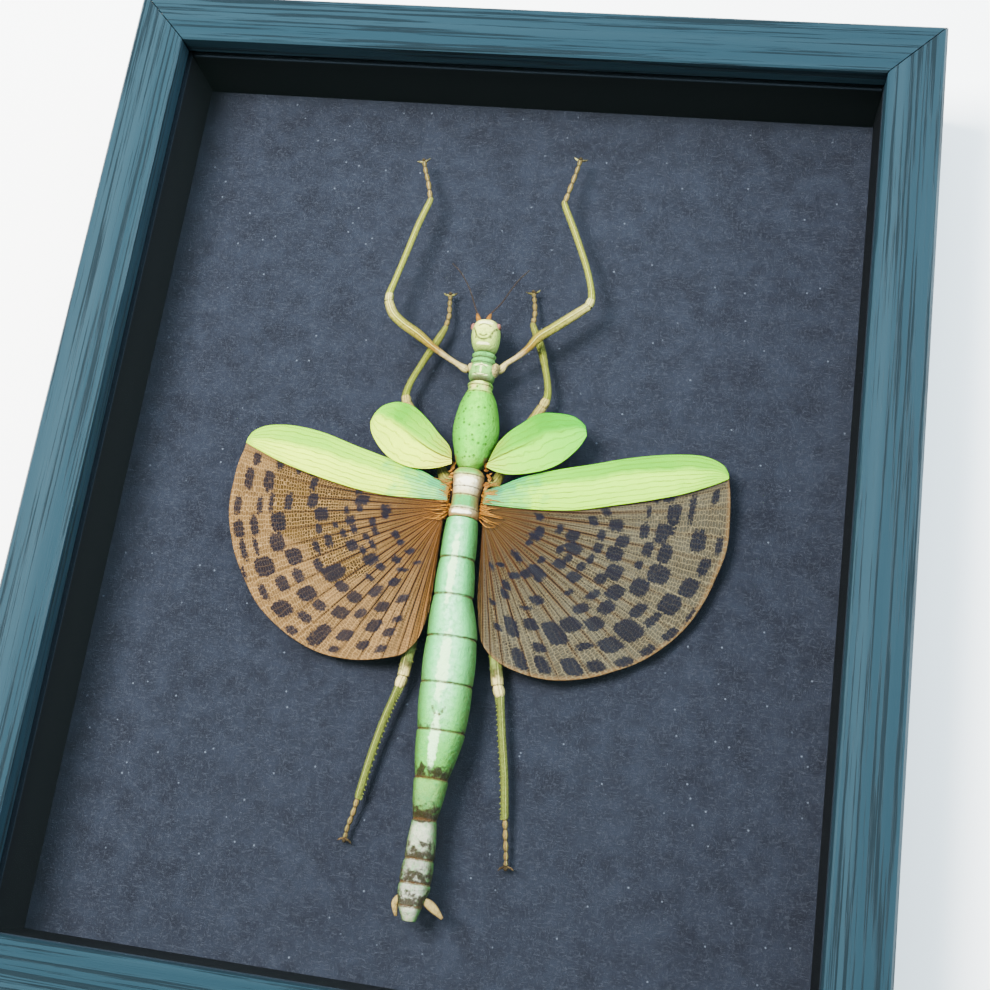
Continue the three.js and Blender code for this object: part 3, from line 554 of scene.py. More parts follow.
@dataclass(frozen=True)
class FanMembrane:
    """Thin smoky wing membrane: dark fold veins, a tan net of cross veins and blue-black spots."""

    name: str
    membrane: str
    inner: str
    root: str
    zone: str
    net: str
    margin: str = "#604828"
    spot: str = "#080914"
    smoke: str = "#241a0c"
    vein: str = "#180e06"
    root_vein: str = "#301a08"
    vein_flank: str = "#3c2810"
    alpha: float = 0.88
    net_columns: float = 3.2
    net_per_mm: float = 1.35
    net_share: float = 0.55
    spot_share: float = 0.94

    def make(self) -> bpy.types.Material:
        """Builds the material. Its values are the ray, the reach in millimetres and the distance to a spot.

        Returns:
            The finished material.
        """
        recipe = Recipe(self.name)
        place = recipe.millimetres()
        ray, reach, gap = recipe.value("ray"), recipe.value("reach"), recipe.value("gap")
        cloud = recipe.noise(place, 0.25, 4.0, 0.6)
        fine = recipe.noise(place, 1.6, 3.0)
        colour = recipe.mix(recipe.ramp(reach, 10.0, 34.0), self.inner, self.membrane)
        colour = recipe.mix(recipe.value("zone"), colour, self.zone)
        colour = recipe.mix(recipe.ramp(reach, 12.0, 2.0), colour, self.root)
        tone = recipe.ramp(cloud, 0.35, 0.7, 0.0, 0.5)
        colour = recipe.mix(tone, colour, self.smoke)
        colour = self.streaked(recipe, colour, ray, reach)
        colour = recipe.mix(recipe.value("fringe"), colour, self.margin)
        cells = recipe.add("CombineXYZ", recipe.maths("MULTIPLY", ray, self.net_columns), reach, 0.0)
        sockets = {"Scale": self.net_per_mm, "Randomness": 0.45}
        net = recipe.add("TexVoronoi", cells, feature="DISTANCE_TO_EDGE", sockets=sockets)
        lines = recipe.ramp(net, 0.13, 0.02, 0.0, self.net_share, smooth=True)
        open_part = recipe.ramp(reach, 10.0, 28.0, 0.15, 1.0)
        net_mask = recipe.maths("MULTIPLY", lines, open_part)
        colour = recipe.mix(net_mask, colour, self.net)
        frayed = recipe.ramp(fine, 0.3, 0.7, -0.45, 0.2)
        spot_edge = recipe.maths("ADD", recipe.value("spot"), frayed)
        spots = recipe.ramp(spot_edge, 0.2, -0.25, smooth=True)
        thinner = recipe.maths("MULTIPLY", net_mask, 0.2)
        spots = recipe.maths("SUBTRACT", spots, thinner, use_clamp=True)
        colour = self.veined(recipe, colour, ray, reach, gap)
        colour = recipe.mix(recipe.maths("MULTIPLY", spots, self.spot_share), colour, self.spot)
        solid = recipe.maths("MULTIPLY", recipe.maths("MAXIMUM", spots, net_mask), 0.1)
        alpha = recipe.maths("ADD", solid, self.alpha, use_clamp=True)
        height = recipe.maths("ADD", net_mask, recipe.maths("MULTIPLY", fine, 0.4))
        sockets = {"Base Color": colour, "Roughness": 0.62, "IOR": 1.4, "Alpha": alpha}
        return recipe.close(sockets, height, 0.05)

    def streaked(self, recipe: Recipe, under: Any, ray: Any, reach: Any) -> Socket:
        """Draws the dark creases that run out from the hinge, and the golden edge beside the body.

        Args:
            recipe: the material.
            under: the colour below them.
            ray: the count of veins from the strip.
            reach: the distance from the hinge, in millimetres.

        Returns:
            The colour with the creases on it.
        """
        round_hinge, outward = recipe.maths("MULTIPLY", ray, 4.5), recipe.maths("MULTIPLY", reach, 0.05)
        place = recipe.add("CombineXYZ", round_hinge, outward, 0.0)
        noise = recipe.noise(place, 1.0, 3.0, 0.6)
        near = recipe.ramp(reach, 46.0, 14.0, 0.2, 0.65)
        mask = recipe.ramp(noise, 0.5, 0.64, smooth=True)
        golden = recipe.ramp(ray, 14.5, 18.0, 0.0, 0.8)
        colour = recipe.mix(golden, under, self.root)
        return recipe.mix(recipe.maths("MULTIPLY", mask, near), colour, self.smoke)

    def veined(self, recipe: Recipe, under: Any, ray: Any, reach: Any, gap: Any) -> Socket:
        """Draws the fold veins and their paler flanks.

        Args:
            recipe: the material.
            under: the colour below them.
            ray: the count of veins from the strip, a whole number on a vein.
            reach: the distance from the hinge, in millimetres.
            gap: the distance between neighbouring veins, in millimetres.

        Returns:
            The colour with the veins on it.
        """
        centred = recipe.maths("FRACT", recipe.maths("ADD", ray, 0.5))
        on_vein = recipe.maths("ABSOLUTE", recipe.maths("SUBTRACT", centred, 0.5))
        midway = recipe.maths("SUBTRACT", recipe.maths("FRACT", ray), 0.5)
        midway = recipe.maths("ABSOLUTE", midway)
        inner = recipe.ramp(reach, 52.0, 26.0, 0.22, 1.0)
        ink = recipe.mix(recipe.ramp(reach, 8.0, 26.0), self.root_vein, self.vein)
        colour = under
        kinds = (
            (on_vein, self.vein_flank, 0.8, 0.42, 0.6),
            (on_vein, ink, 0.34, 0.2, 1.0),
            (midway, ink, 0.2, 0.15, 0.7),
        )
        for place, paint, width, most, share in kinds:
            half = recipe.maths("MINIMUM", recipe.maths("DIVIDE", width, gap), most)
            off = recipe.maths("DIVIDE", place, half)
            line = recipe.ramp(off, 1.0, 0.3, 0.0, share, smooth=True)
            colour = recipe.mix(recipe.maths("MULTIPLY", line, inner), colour, paint)
        return colour


class Shell:
    """A mesh in the making. Every shape added to it carries the same values at its vertices."""

    def __init__(self, *values: str) -> None:
        """Starts an empty mesh.

        Args:
            values: the names of the values that its vertices carry.
        """
        self.bm = bmesh.new()
        self.layers = {name: self.bm.verts.layers.float.new(name) for name in values}

    def put(
        self, verts: Sequence[bmesh.types.BMVert], points: np.ndarray, values: dict[str, np.ndarray]
    ) -> None:
        """Moves vertices to their places and writes their values.

        Args:
            verts: the vertices.
            points: their places, in millimetres.
            values: their values, by name.
        """
        for number, vert in enumerate(verts):
            vert.co = points[number] * MM
        for name, row in values.items():
            layer = self.layers[name]
            for number, vert in enumerate(verts):
                vert[layer] = float(row[number])

    def sheet(self, columns: int, rows: int, place: Placer) -> list[bmesh.types.BMVert]:
        """Bends a flat grid into a surface.

        Args:
            columns: how many faces lie across it.
            rows: how many faces lie along it.
            place: gives the points and values for two arrays that run from 0 to 1, across and along.

        Returns:
            Its vertices.
        """
        made = bmesh.ops.create_grid(self.bm, x_segments=columns, y_segments=rows, size=0.5)["verts"]
        grid = np.array([vert.co for vert in made]) + 0.5
        points, values = place(grid[:, 0], grid[:, 1])
        self.put(made, points, values)
        return made

    def tube(
        self,
        stations: np.ndarray,
        sides: int,
        values: dict[str, np.ndarray],
        section: Section | None = None,
        heading: Sequence[float] | None = None,
        facing: float = 1.0,
    ) -> None:
        """Carries a round section along stations and closes its ends.

        Args:
            stations: rows of x, y, z, half width and half height.
            sides: how many faces go round it.
            values: one value at each station, for each name. side and top are worked out.
            section: gives a factor on the radius for an array of angles.
            heading: a fixed direction that the sections stay square to.
            facing: -1 turns the side value round.
        """
        steps = len(stations) - 1
        centres = stations[:, :3]
        ahead = np.gradient(centres, axis=0) if heading is None else np.tile(heading, (steps + 1, 1))
        ahead = ahead / np.linalg.norm(ahead, axis=1)[:, None]
        across = np.cross(ahead, (0, 0, 1.0))
        across = across / np.linalg.norm(across, axis=1)[:, None]
        over = np.cross(across, ahead)

        def place(u: np.ndarray, v: np.ndarray) -> Placed:
            """Wraps the grid round the stations.

            Args:
                u: how far round, from 0 to 1.
                v: how far along, from 0 to 1.

            Returns:
                The points and their values.
            """
            turn = np.rint(u * sides) % sides * (2 * math.pi / sides)
            number = np.rint(v * steps).astype(int)
            factor = 1.0 if section is None else section(turn)
            out, up = np.sin(turn), -np.cos(turn)
            wide = (out * factor * stations[number, 3])[:, None]
            tall = (up * factor * stations[number, 4])[:, None]
            row = {name: value[number] for name, value in values.items()}
            row.update(side=out * facing, top=up)
            return centres[number] + across[number] * wide + over[number] * tall, row

        made = self.sheet(sides, steps, place)
        bmesh.ops.remove_doubles(self.bm, verts=made, dist=MM * 0.001)
        left = [vert for vert in made if vert.is_valid]
        rim = list({edge for vert in left for edge in vert.link_edges if edge.is_boundary})
        bmesh.ops.holes_fill(self.bm, edges=rim, sides=0)

    def lump(
        self,
        centre: Sequence[float],
        sizes: Sequence[float],
        values: dict[str, float],
        turn: float = 0.0,
        detail: int = 3,
    ) -> None:
        """Adds an oval lump.

        Args:
            centre: its middle.
            sizes: its half sizes.
            values: its values, apart from side and top.
            turn: how far it is turned in the plane of the board, in degrees.
            detail: how often its faces are split.
        """
        made = bmesh.ops.create_icosphere(self.bm, subdivisions=detail, radius=1.0)["verts"]
        unit = np.array([vert.co for vert in made])
        angle = math.radians(turn)
        spin = np.array(
            [[math.cos(angle), math.sin(angle), 0], [-math.sin(angle), math.cos(angle), 0], [0, 0, 1]]
        )
        row = {name: np.full(len(unit), value) for name, value in values.items()}
        row.update(side=unit[:, 0], top=unit[:, 2])
        self.put(made, (unit * sizes) @ spin + centre, row)

    def spike(
        self, foot: Vector, tip: Vector, radius: float, values: dict[str, float], blunt: float = 0.12
    ) -> None:
        """Adds a small cone.

        Args:
            foot: the middle of its foot.
            tip: the middle of its tip.
            radius: the radius of its foot.
            values: its values, apart from side and top.
            blunt: the tip's share of the radius.
        """
        length = (tip - foot).length
        turn = (tip - foot).to_track_quat("Z", "Y").to_matrix().to_4x4()
        made = bmesh.ops.create_cone(
            self.bm, cap_ends=True, segments=6, radius1=radius, radius2=radius * blunt, depth=length
        )["verts"]
        points = [turn @ vert.co + (foot + tip) / 2 for vert in made]
        row = {name: np.full(len(made), value) for name, value in values.items()}
        row.update(side=np.zeros(len(made)), top=np.ones(len(made)))
        self.put(made, np.array(points), row)

    def mark(self, name: str, measure: Callable[[np.ndarray], np.ndarray]) -> None:
        """Works one value out for all its points.

        Args:
            name: the value.
            measure: gives the value at points in millimetres.
        """
        verts = list(self.bm.verts)
        layer = self.layers[name]
        for vert, value in zip(verts, measure(np.array([vert.co for vert in verts]) / MM)):
            vert[layer] = float(value)

    def finish(
        self, name: str, node: str, slot: str, material: bpy.types.Material, thickness: float = 0.0
    ) -> bpy.types.Object:
        """Makes the piece that stands for a node.

        Args:
            name: the piece's name.
            node: the node that it stands for.
            slot: a name for its finish; not used.
            material: its material.
            thickness: how thick to make an open sheet, in millimetres.

        Returns:
            The finished piece.
        """
        bmesh.ops.recalc_face_normals(self.bm, faces=self.bm.faces)
        for face in self.bm.faces:
            face.smooth = True
        mesh = bpy.data.meshes.new(name)
        self.bm.to_mesh(mesh)
        self.bm.free()
        mesh.materials.append(material)
        piece = bpy.data.objects.new(name, mesh)
        bpy.context.scene.collection.objects.link(piece)
        if thickness:
            wall = piece.modifiers.new("thickness", "SOLIDIFY")
            wall.thickness = thickness * MM
            wall.offset = 0.0
        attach(piece, "root")
        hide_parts(node)
        LOG.info("built %s with %d faces", name, len(mesh.polygons))
        return piece


Rings = Sequence[Sequence[float]]
Points = Sequence[Sequence[float]]
BODY_VALUES = ("along", "side", "top", "seam", "dark", "pale")
REARWARDS = (0.0, -1.0, 0.0)
FAR = 9.0
TOP_TURN = math.pi


@dataclass(frozen=True)
class Arc:
    """Part of an oval line on the body, seen from above. Angles are in degrees from +X."""

    x: float
    y: float
    across: float
    along: float
    start: float = 0.0
    end: float = 360.0

    def gap(self, points: np.ndarray) -> np.ndarray:
        """How far points lie from the line.

        Args:
            points: their places, in millimetres.

        Returns:
            The distances, in millimetres, and FAR past its ends.
        """
        right = (points[:, 0] - self.x) / self.across
        ahead = (points[:, 1] - self.y) / self.along
        radius = np.hypot(right, ahead)
        angle = np.degrees(np.arctan2(ahead, right)) % 360
        away = np.abs(radius - 1) * min(self.across, self.along)
        return np.where((angle >= self.start) & (angle <= self.end), away, FAR)

    def inside(self, points: np.ndarray, soft: float = 0.6) -> np.ndarray:
        """1 inside the oval and 0 outside, with a soft edge."""
        radius = np.hypot((points[:, 0] - self.x) / self.across, (points[:, 1] - self.y) / self.along)
        return fade(radius, 1 + soft, 1 - soft)


def nearest(arcs: Sequence[Arc], points: np.ndarray) -> np.ndarray:
    """The distance from points to the nearest of some lines."""
    return np.min([arc.gap(points) for arc in arcs], axis=0)


def ovals(arcs: Sequence[Arc], points: np.ndarray) -> np.ndarray:
    """The strongest cover that some ovals give to points."""
    return np.max([arc.inside(points) for arc in arcs], axis=0)


def faceted(faces: int, share: float) -> Section:
    """Flat faces for a tube, with an edge along its top.

    Args:
        faces: how many faces go round it.
        share: 1 for flat faces, less for rounded ones.

    Returns:
        The factor on the radius at angles.
    """
    step = 2 * math.pi / faces

    def section(turn: np.ndarray) -> np.ndarray:
        """Draws each face in towards its middle.

        Args:
            turn: the angles.

        Returns:
            The factor on the radius.
        """
        away = (turn - TOP_TURN) % step - step / 2
        return 1 + share * (math.cos(step / 2) / np.cos(away) - 1)

    return section


def ridged(places: Sequence[float], height: float, width: float) -> Section:
    """Lengthwise ridges for a tube.

    Args:
        places: the angles at which they stand.
        height: how far they stand out, as a share of the radius.
        width: how wide they are, as an angle.

    Returns:
        The factor on the radius at angles.
    """

    def section(turn: np.ndarray) -> np.ndarray:
        """Adds the ridges up.

        Args:
            turn: the angles.

        Returns:
            The factor on the radius.
        """
        factor = np.ones(len(turn))
        for place in places:
            gap = np.abs((turn - place + math.pi) % (2 * math.pi) - math.pi)
            factor += height * np.exp(-((gap / width) ** 2))
        return factor

    return section


@dataclass
class Trunk:
    """A piece of the body lofted through rings of y, left x, right x and half height."""

    node: str
    slot: str
    rings: Rings
    finish: Cuticle
    steps: int = 70
    sides: int = 56
    ridge_turns: tuple[float, ...] = ()
    ridge_height: float = 0.02
    ridge_width: float = 0.09
    lines: tuple[Arc, ...] = ()
    dark_ovals: tuple[Arc, ...] = ()
    pale_ovals: tuple[Arc, ...] = ()
    ring_seams: tuple[float, ...] = ()

    def loft(self) -> Shell:
        """Lofts the rings and marks its surface.

        Returns:
            The mesh in the making.
        """
        shell = Shell(*BODY_VALUES)
        y, left, right, tall = smooth_path(self.rings, np.linspace(0, 1, self.steps + 1)).T
        axis = np.full(len(y), BODY_AXIS)
        stations = np.stack([(left + right) / 2, y, axis, (right - left) / 2, tall], axis=1)
        section = ridged(self.ridge_turns, self.ridge_height, self.ridge_width)
        shell.tube(stations, self.sides, {"along": -y}, section, REARWARDS)
        shell.mark("seam", self.seam_gap)
        if self.dark_ovals:
            shell.mark("dark", lambda points: ovals(self.dark_ovals, points))
        if self.pale_ovals:
            shell.mark("pale", lambda points: ovals(self.pale_ovals, points))
        return shell

    def seam_gap(self, points: np.ndarray) -> np.ndarray:
        """The distance from points to the nearest dark line.

        Args:
            points: their places, in millimetres.

        Returns:
            The distances, in millimetres.
        """
        gap = np.full(len(points), FAR)
        for y in self.ring_seams:
            gap = np.minimum(gap, np.abs(points[:, 1] - y))
        if self.lines:
            gap = np.minimum(gap, nearest(self.lines, points))
        return gap

    def build(self) -> None:
        """Builds the piece."""
        self.loft().finish(self.node, self.node, self.slot, self.finish.make())


PALE_GREEN = Cuticle(
    name="head_cuticle",
    bands=(
        (-52.0, "#7a5a30"), (-51.2, "#d4d870"), (-47.5, "#bcd05c"), (-44.5, "#9cb848"), (-42.2, "#4c6030")
    ),
    flank="#64803c",
    mottle="#6c7c3c",
    seam="#343c18",
    pale="#dce0a0",
    dark="#3c3c20",
    seam_width=0.34,
)
EYE = Cuticle(
    name="eye_lens", bands=((0.0, "#70483a"), (1.0, "#8a6050")), flank="#3c2418", mottle="#402a20",
    speck="#2c1c16", speck_per_mm=3.2, speck_radius=0.05, roughness=0.25,
)
SCAPE = Cuticle(
    name="antenna_base_cuticle", bands=((0.0, "#805818"), (0.6, "#744c14"), (1.0, "#483018")),
    flank="#402c18", mottle="#402814",
)


@dataclass
class Head(Trunk):
    """Head, with its two eyes and the first joints of the antennae."""

    eyes: Points = ((-4.4, 49.5), (2.3, 49.9))
    eye_sizes: tuple[float, float, float] = (0.9, 1.1, 1.1)
    eye_rise: float = 0.8
    scapes: Sequence[Points] = (
        ((-3.1, 51, 9.2, 0.75, 0.7), (-3.7, 52.5, 9.4, 0.7, 0.6), (-4.2, 53.8, 9.4, 0.3, 0.3)),
        ((-1.0, 51, 9.2, 0.75, 0.7), (-0.7, 52.6, 9.4, 0.7, 0.6), (-0.3, 54.0, 9.4, 0.3, 0.3)),
    )

    def build(self) -> None:
        """Builds the head, its eyes and the antenna bases."""
        super().build()
        eye, scape = EYE.make(), SCAPE.make()
        for side, (x, y), route in zip(("left", "right"), self.eyes, self.scapes):
            shell = Shell(*BODY_VALUES)
            shell.lump((x, y, BODY_AXIS + self.eye_rise), self.eye_sizes, {"along": 0.5, "seam": FAR})
            shell.finish(f"eye_{side}", self.node, self.slot, eye)
            shell = Shell(*BODY_VALUES)
            shares = np.linspace(0, 1, 15)
            shell.tube(raised(smooth_path(route, shares)), 20, {"along": shares, "seam": shares + FAR})
            shell.finish(f"antenna_base_{side}", self.node, self.slot, scape)


def raised(stations: np.ndarray) -> np.ndarray:
    """Lifts stations that are given by their height above the board.

    Args:
        stations: rows that start with x, y and that height.

    Returns:
        The rows with z in its place.
    """
    lifted = stations.copy()
    lifted[:, 2] += BOARD_TOP
    return lifted


@dataclass
class Prothorax(Trunk):
    """First ring of the thorax with its neck folds, and the round coxal knobs of the front legs."""

    knobs: Sequence[tuple[Points, float]] = (
        (((-3.3, 37.4, 0.2), (1.2, 1.7, 1.8)), 12.0),
        (((3.1, 37.3, 0.2), (1.3, 2.1, 2.0)), -10.0),
    )

    def build(self) -> None:
        """Builds the ring and its knobs."""
        super().build()
        shell = Shell(*BODY_VALUES)
        for ((x, y, z), sizes), turn in self.knobs:
            shell.lump((x, y, BODY_AXIS + z), sizes, {"along": 0.0, "seam": FAR}, turn)
        shell.finish("front_coxal_knobs", self.node, self.slot, KNOB.make())


KNOB = Cuticle(
    name="knob_cuticle", bands=((0.0, "#9a9058"), (1.0, "#80703c")), flank="#4a4028", mottle="#46361e",
    mottle_share=0.8, speck="#32241a", speck_per_mm=1.3, speck_radius=0.16,
)
NECK = Cuticle(
    name="neck_cuticle",
    bands=((-42.1, "#3c6c38"), (-41.2, "#54a84c"), (-40.4, "#346430"), (-39.6, "#54a84c"), (-38.8, "#3c7438"),
           (-37.5, "#74b450"), (-35.2, "#689848"), (-34.4, "#4c5834"), (-33.6, "#302c1c")),
    flank="#44682c",
    pale="#c4d48c",
    dark="#2c2a18",
)
THORAX = Cuticle(
    name="thorax_cuticle",
    bands=((-33.5, "#463c24"), (-31.6, "#c4b868"), (-30.6, "#98ac4c"), (-29.6, "#409c10"), (-17.0, "#3cac10"),
           (-12.0, "#449c14"), (-8.6, "#5a7c28")),
    flank="#3c7018",
    flank_share=0.9,
    flank_start=0.35,
    # painted highlight along the top of the thorax
    highlight_share=0.55,
    painted_highlight="#78d838",
    mottle="#3c8418",
    mottle_share=0.45,
    speck="#28480c",
    speck_per_mm=0.62,
    speck_radius=0.3,
    pale="#c0d468",
    dark="#5a4c20",
)
HINGE = Cuticle(
    name="hinge_cuticle",
    bands=((-8.4, "#5c7434"), (-7.0, "#4c9834"), (-5.9, "#c4bc84"), (-2.8, "#e4e0bc"), (-0.6, "#a89c60"),
           (-0.2, "#2c9c48"), (2.4, "#209048"), (3.1, "#ccc898"), (4.2, "#a09468"), (5.3, "#544824")),
    flank="#64421c",
    flank_start=0.35,
    flank_share=0.95,
    mottle="#6c5c30",
    mottle_share=0.6,
    mottle_per_mm=1.2,
    seam_width=0.3,
    pale="#ece8cc",
    dark="#4c3414",
    relief=0.3,
)
ABDOMEN = Cuticle(
    name="abdomen_cuticle",
    bands=((5.0, "#24a050"), (20.0, "#38a85c"), (44.0, "#48b464"), (58.0, "#4ca848"), (70.0, "#4c9438"),
           (73.0, "#3c5020"), (74.4, "#5c9440"), (80.0, "#50783c"), (83.0, "#281f10"), (85.6, "#a0a890"),
           (92.6, "#7c8070"), (98.6, "#84887c"), (104.0, "#a8ac9c"), (108.2, "#6c7058")),
    flank="#304414",
    flank_start=0.4,
    flank_share=0.95,
    # painted highlight along the top of the front abdomen
    painted_highlight="#a4e4b8",
    highlight_share=0.75,
    highlight_end=66.0,
    mottle="#308040",
    mottle_share=0.5,
    seam="#3c2a14",
    seam_width=0.5,
    # this pale colour paints the highlight streaks along the abdomen's top
    pale="#b0e0a4",
    dark="#201a0c",
    roughness=0.56,
)
CERCUS = Cuticle(
    name="cercus_cuticle", bands=((0.0, "#7c7044"), (0.6, "#8c7c48"), (1.0, "#5c4c2c")), flank="#3c2c18",
    flank_start=0.6, mottle="#4c3c24", seam_width=0.1,
)


@dataclass
class Abdomen(Trunk):
    """Abdomen, pinched at its joints, with the two leaf-shaped cerci at its tip."""

    joints: Rings = (
        (-5.6, -3.8, 4.7, 4.2), (-16.5, -4.0, 5.4, 4.6), (-26.5, -4.1, 6.4, 4.9), (-37.5, -4.2, 9.0, 5.3),
        (-49.5, -3.9, 9.6, 5.4), (-61.5, -3.0, 9.4, 5.2), (-73.5, -1.8, 6.9, 4.3), (-83.6, -0.7, 5.6, 3.4),
        (-93.2, -1.2, 6.3, 3.6), (-99.0, -1.6, 6.4, 3.5), (-104.6, -1.2, 5.2, 2.8),
    )
    tip: Sequence[float] = (-108.1, 0.6, 3.9, 1.2)
    pinch: float = 0.94
    bulge: float = 1.035
    edge: float = 0.8
    cerci: Sequence[Points] = (
        ((4.6, -102.4, 9, 0.7, 0.5), (7.4, -104.0, 8.6, 1.2, 0.5), (10.3, -106.4, 8, 0.4, 0.3)),
        ((0.0, -101.8, 9, 0.7, 0.5), (-1.9, -104.2, 8.6, 0.9, 0.5), (-1.3, -107.4, 8, 0.4, 0.3)),
    )

    def __post_init__(self) -> None:
        """Works the rings and the seams out from the joints."""
        joints = np.array(self.joints)
        rings = []
        for start, end in zip(joints, joints[1:]):
            rings += [self.scaled(start, self.pinch, 0), self.scaled(start, 1, -self.edge)]
            rings += [self.scaled((start + end) / 2, self.bulge, 0), self.scaled(end, 1, self.edge)]
        self.rings = [*rings, self.scaled(joints[-1], self.pinch, 0), list(self.tip)]
        self.ring_seams = tuple(joints[1:, 0])

    @staticmethod
    def scaled(ring: np.ndarray, factor: float, shift: float) -> list[float]:
        """Shrinks or swells a ring about its middle and moves it along the body.

        Args:
            ring: y, left x, right x and half height.
            factor: how much wider and higher it gets.
            shift: how far it moves towards the head.

        Returns:
            The new ring.
        """
        y, left, right, tall = ring
        middle, half = (left + right) / 2, (right - left) / 2 * factor
        return [y + shift, middle - half, middle + half, tall * factor]

    def dark_cover(self, points: np.ndarray) -> np.ndarray:
        """Dark cover: the named ovals, and darkening just behind each joint that grows towards the tail.

        Args:
            points: places in millimetres.

        Returns:
            The cover, from 0 to 1.
        """
        y = points[:, 1]
        behind = np.min([np.where(y >= seam, y - seam, FAR) for seam in self.ring_seams], axis=0)
        joint_darkening = 0.5 * fade(y, -44, -70) * fade(behind, 6.5, 0.5) + 0.2 * fade(y, -56, -90)
        return np.maximum(joint_darkening, ovals(self.dark_ovals, points))

    def build(self) -> None:
        """Builds the abdomen and its cerci."""
        shell = self.loft()
        shell.mark("dark", self.dark_cover)
        shell.finish(self.node, self.node, self.slot, self.finish.make())
        cercus = CERCUS.make()
        for side, route in zip(("right", "left"), self.cerci):
            shell = Shell(*BODY_VALUES)
            shares = np.linspace(0, 1, 21)
            shell.tube(raised(smooth_path(route, shares)), 24, {"along": shares, "seam": shares + FAR})
            shell.finish(f"cercus_{side}", self.node, self.slot, cercus)


@dataclass(frozen=True)
class LegForm:
    """Half widths of one kind of leg from the body outwards, and its finish.

    Its bands count 0 to 1 on the femur, to 2 on the tibia and to 3 on the tarsus.
    """

    coxa: Sequence[float]
    femur: Sequence[float]
    tibia: Sequence[float]
    finish: Cuticle
    teeth: tuple[int, int] = (0, 0)
    flatness: float = 0.9


LEG_SKIN = dict(mottle="#484420", mottle_per_mm=1.3, seam="#2c2410", seam_width=0.3, roughness=0.66,
                ridge_width=0.1, sheen=0.2)


class LegKind(Enum):
    """The three kinds of leg."""

    FRONT = LegForm(
        coxa=(0.9, 1.2),
        femur=(0.85, 0.85, 1.1, 1.5, 1.5, 1.5, 1.35),
        tibia=(1.1, 0.95, 0.95, 1, 0.95),
        finish=Cuticle(
            name="front_leg_cuticle",
            bands=((-0.2, "#8c8048"), (0.0, "#bcac70"), (0.3, "#988058"), (0.38, "#7c5818"), (0.5, "#7c6c1c"),
                   (0.75, "#848430"), (0.94, "#a09850"), (1.03, "#b8b468"), (1.12, "#7c8428"),
                   (1.85, "#74782c"), (2.0, "#705c34"), (3.0, "#4c3c28")),
            flank="#3c4018", ridge_share=0.45, ridge="#c8c880", **LEG_SKIN,
        ),
    )
    MIDDLE = LegForm(
        coxa=(1.1, 1.9),
        femur=(1.4, 1.6, 1.5),
        tibia=(1.2, 1, 1, 1.25, 0.95),
        finish=Cuticle(
            name="middle_leg_cuticle",
            bands=((-0.2, "#444224"), (0.0, "#787034"), (0.5, "#686c28"), (0.93, "#807438"),
                   (1.02, "#a09050"), (1.1, "#647018"), (1.9, "#606428"), (2.0, "#705c34"), (3.0, "#4c3c28")),
            flank="#3c4018", ridge_share=0.3, ridge="#a0a850", **LEG_SKIN,
        ),
    )
    HIND = LegForm(
        coxa=(1.1, 1.7),
        femur=(1.5, 1.8, 1.7),
        tibia=(1.2, 1.1, 1.1, 1.1, 1.05),
        teeth=(24, 32),
        finish=Cuticle(
            name="hind_leg_cuticle",
            bands=((-0.2, "#4c4c2c"), (0.0, "#80844c"), (0.5, "#6c8040"), (0.9, "#748844"),
                   (0.945, "#302c18"), (0.97, "#bcb070"), (1.04, "#c8bc74"), (1.08, "#545f28"),
                   (1.9, "#586428"), (2.0, "#705c34"), (3.0, "#4c3c28")),
            flank="#303818", ridge_share=0.4, ridge="#b4b868", ridge_place=-0.35, **LEG_SKIN,
        ),
    )


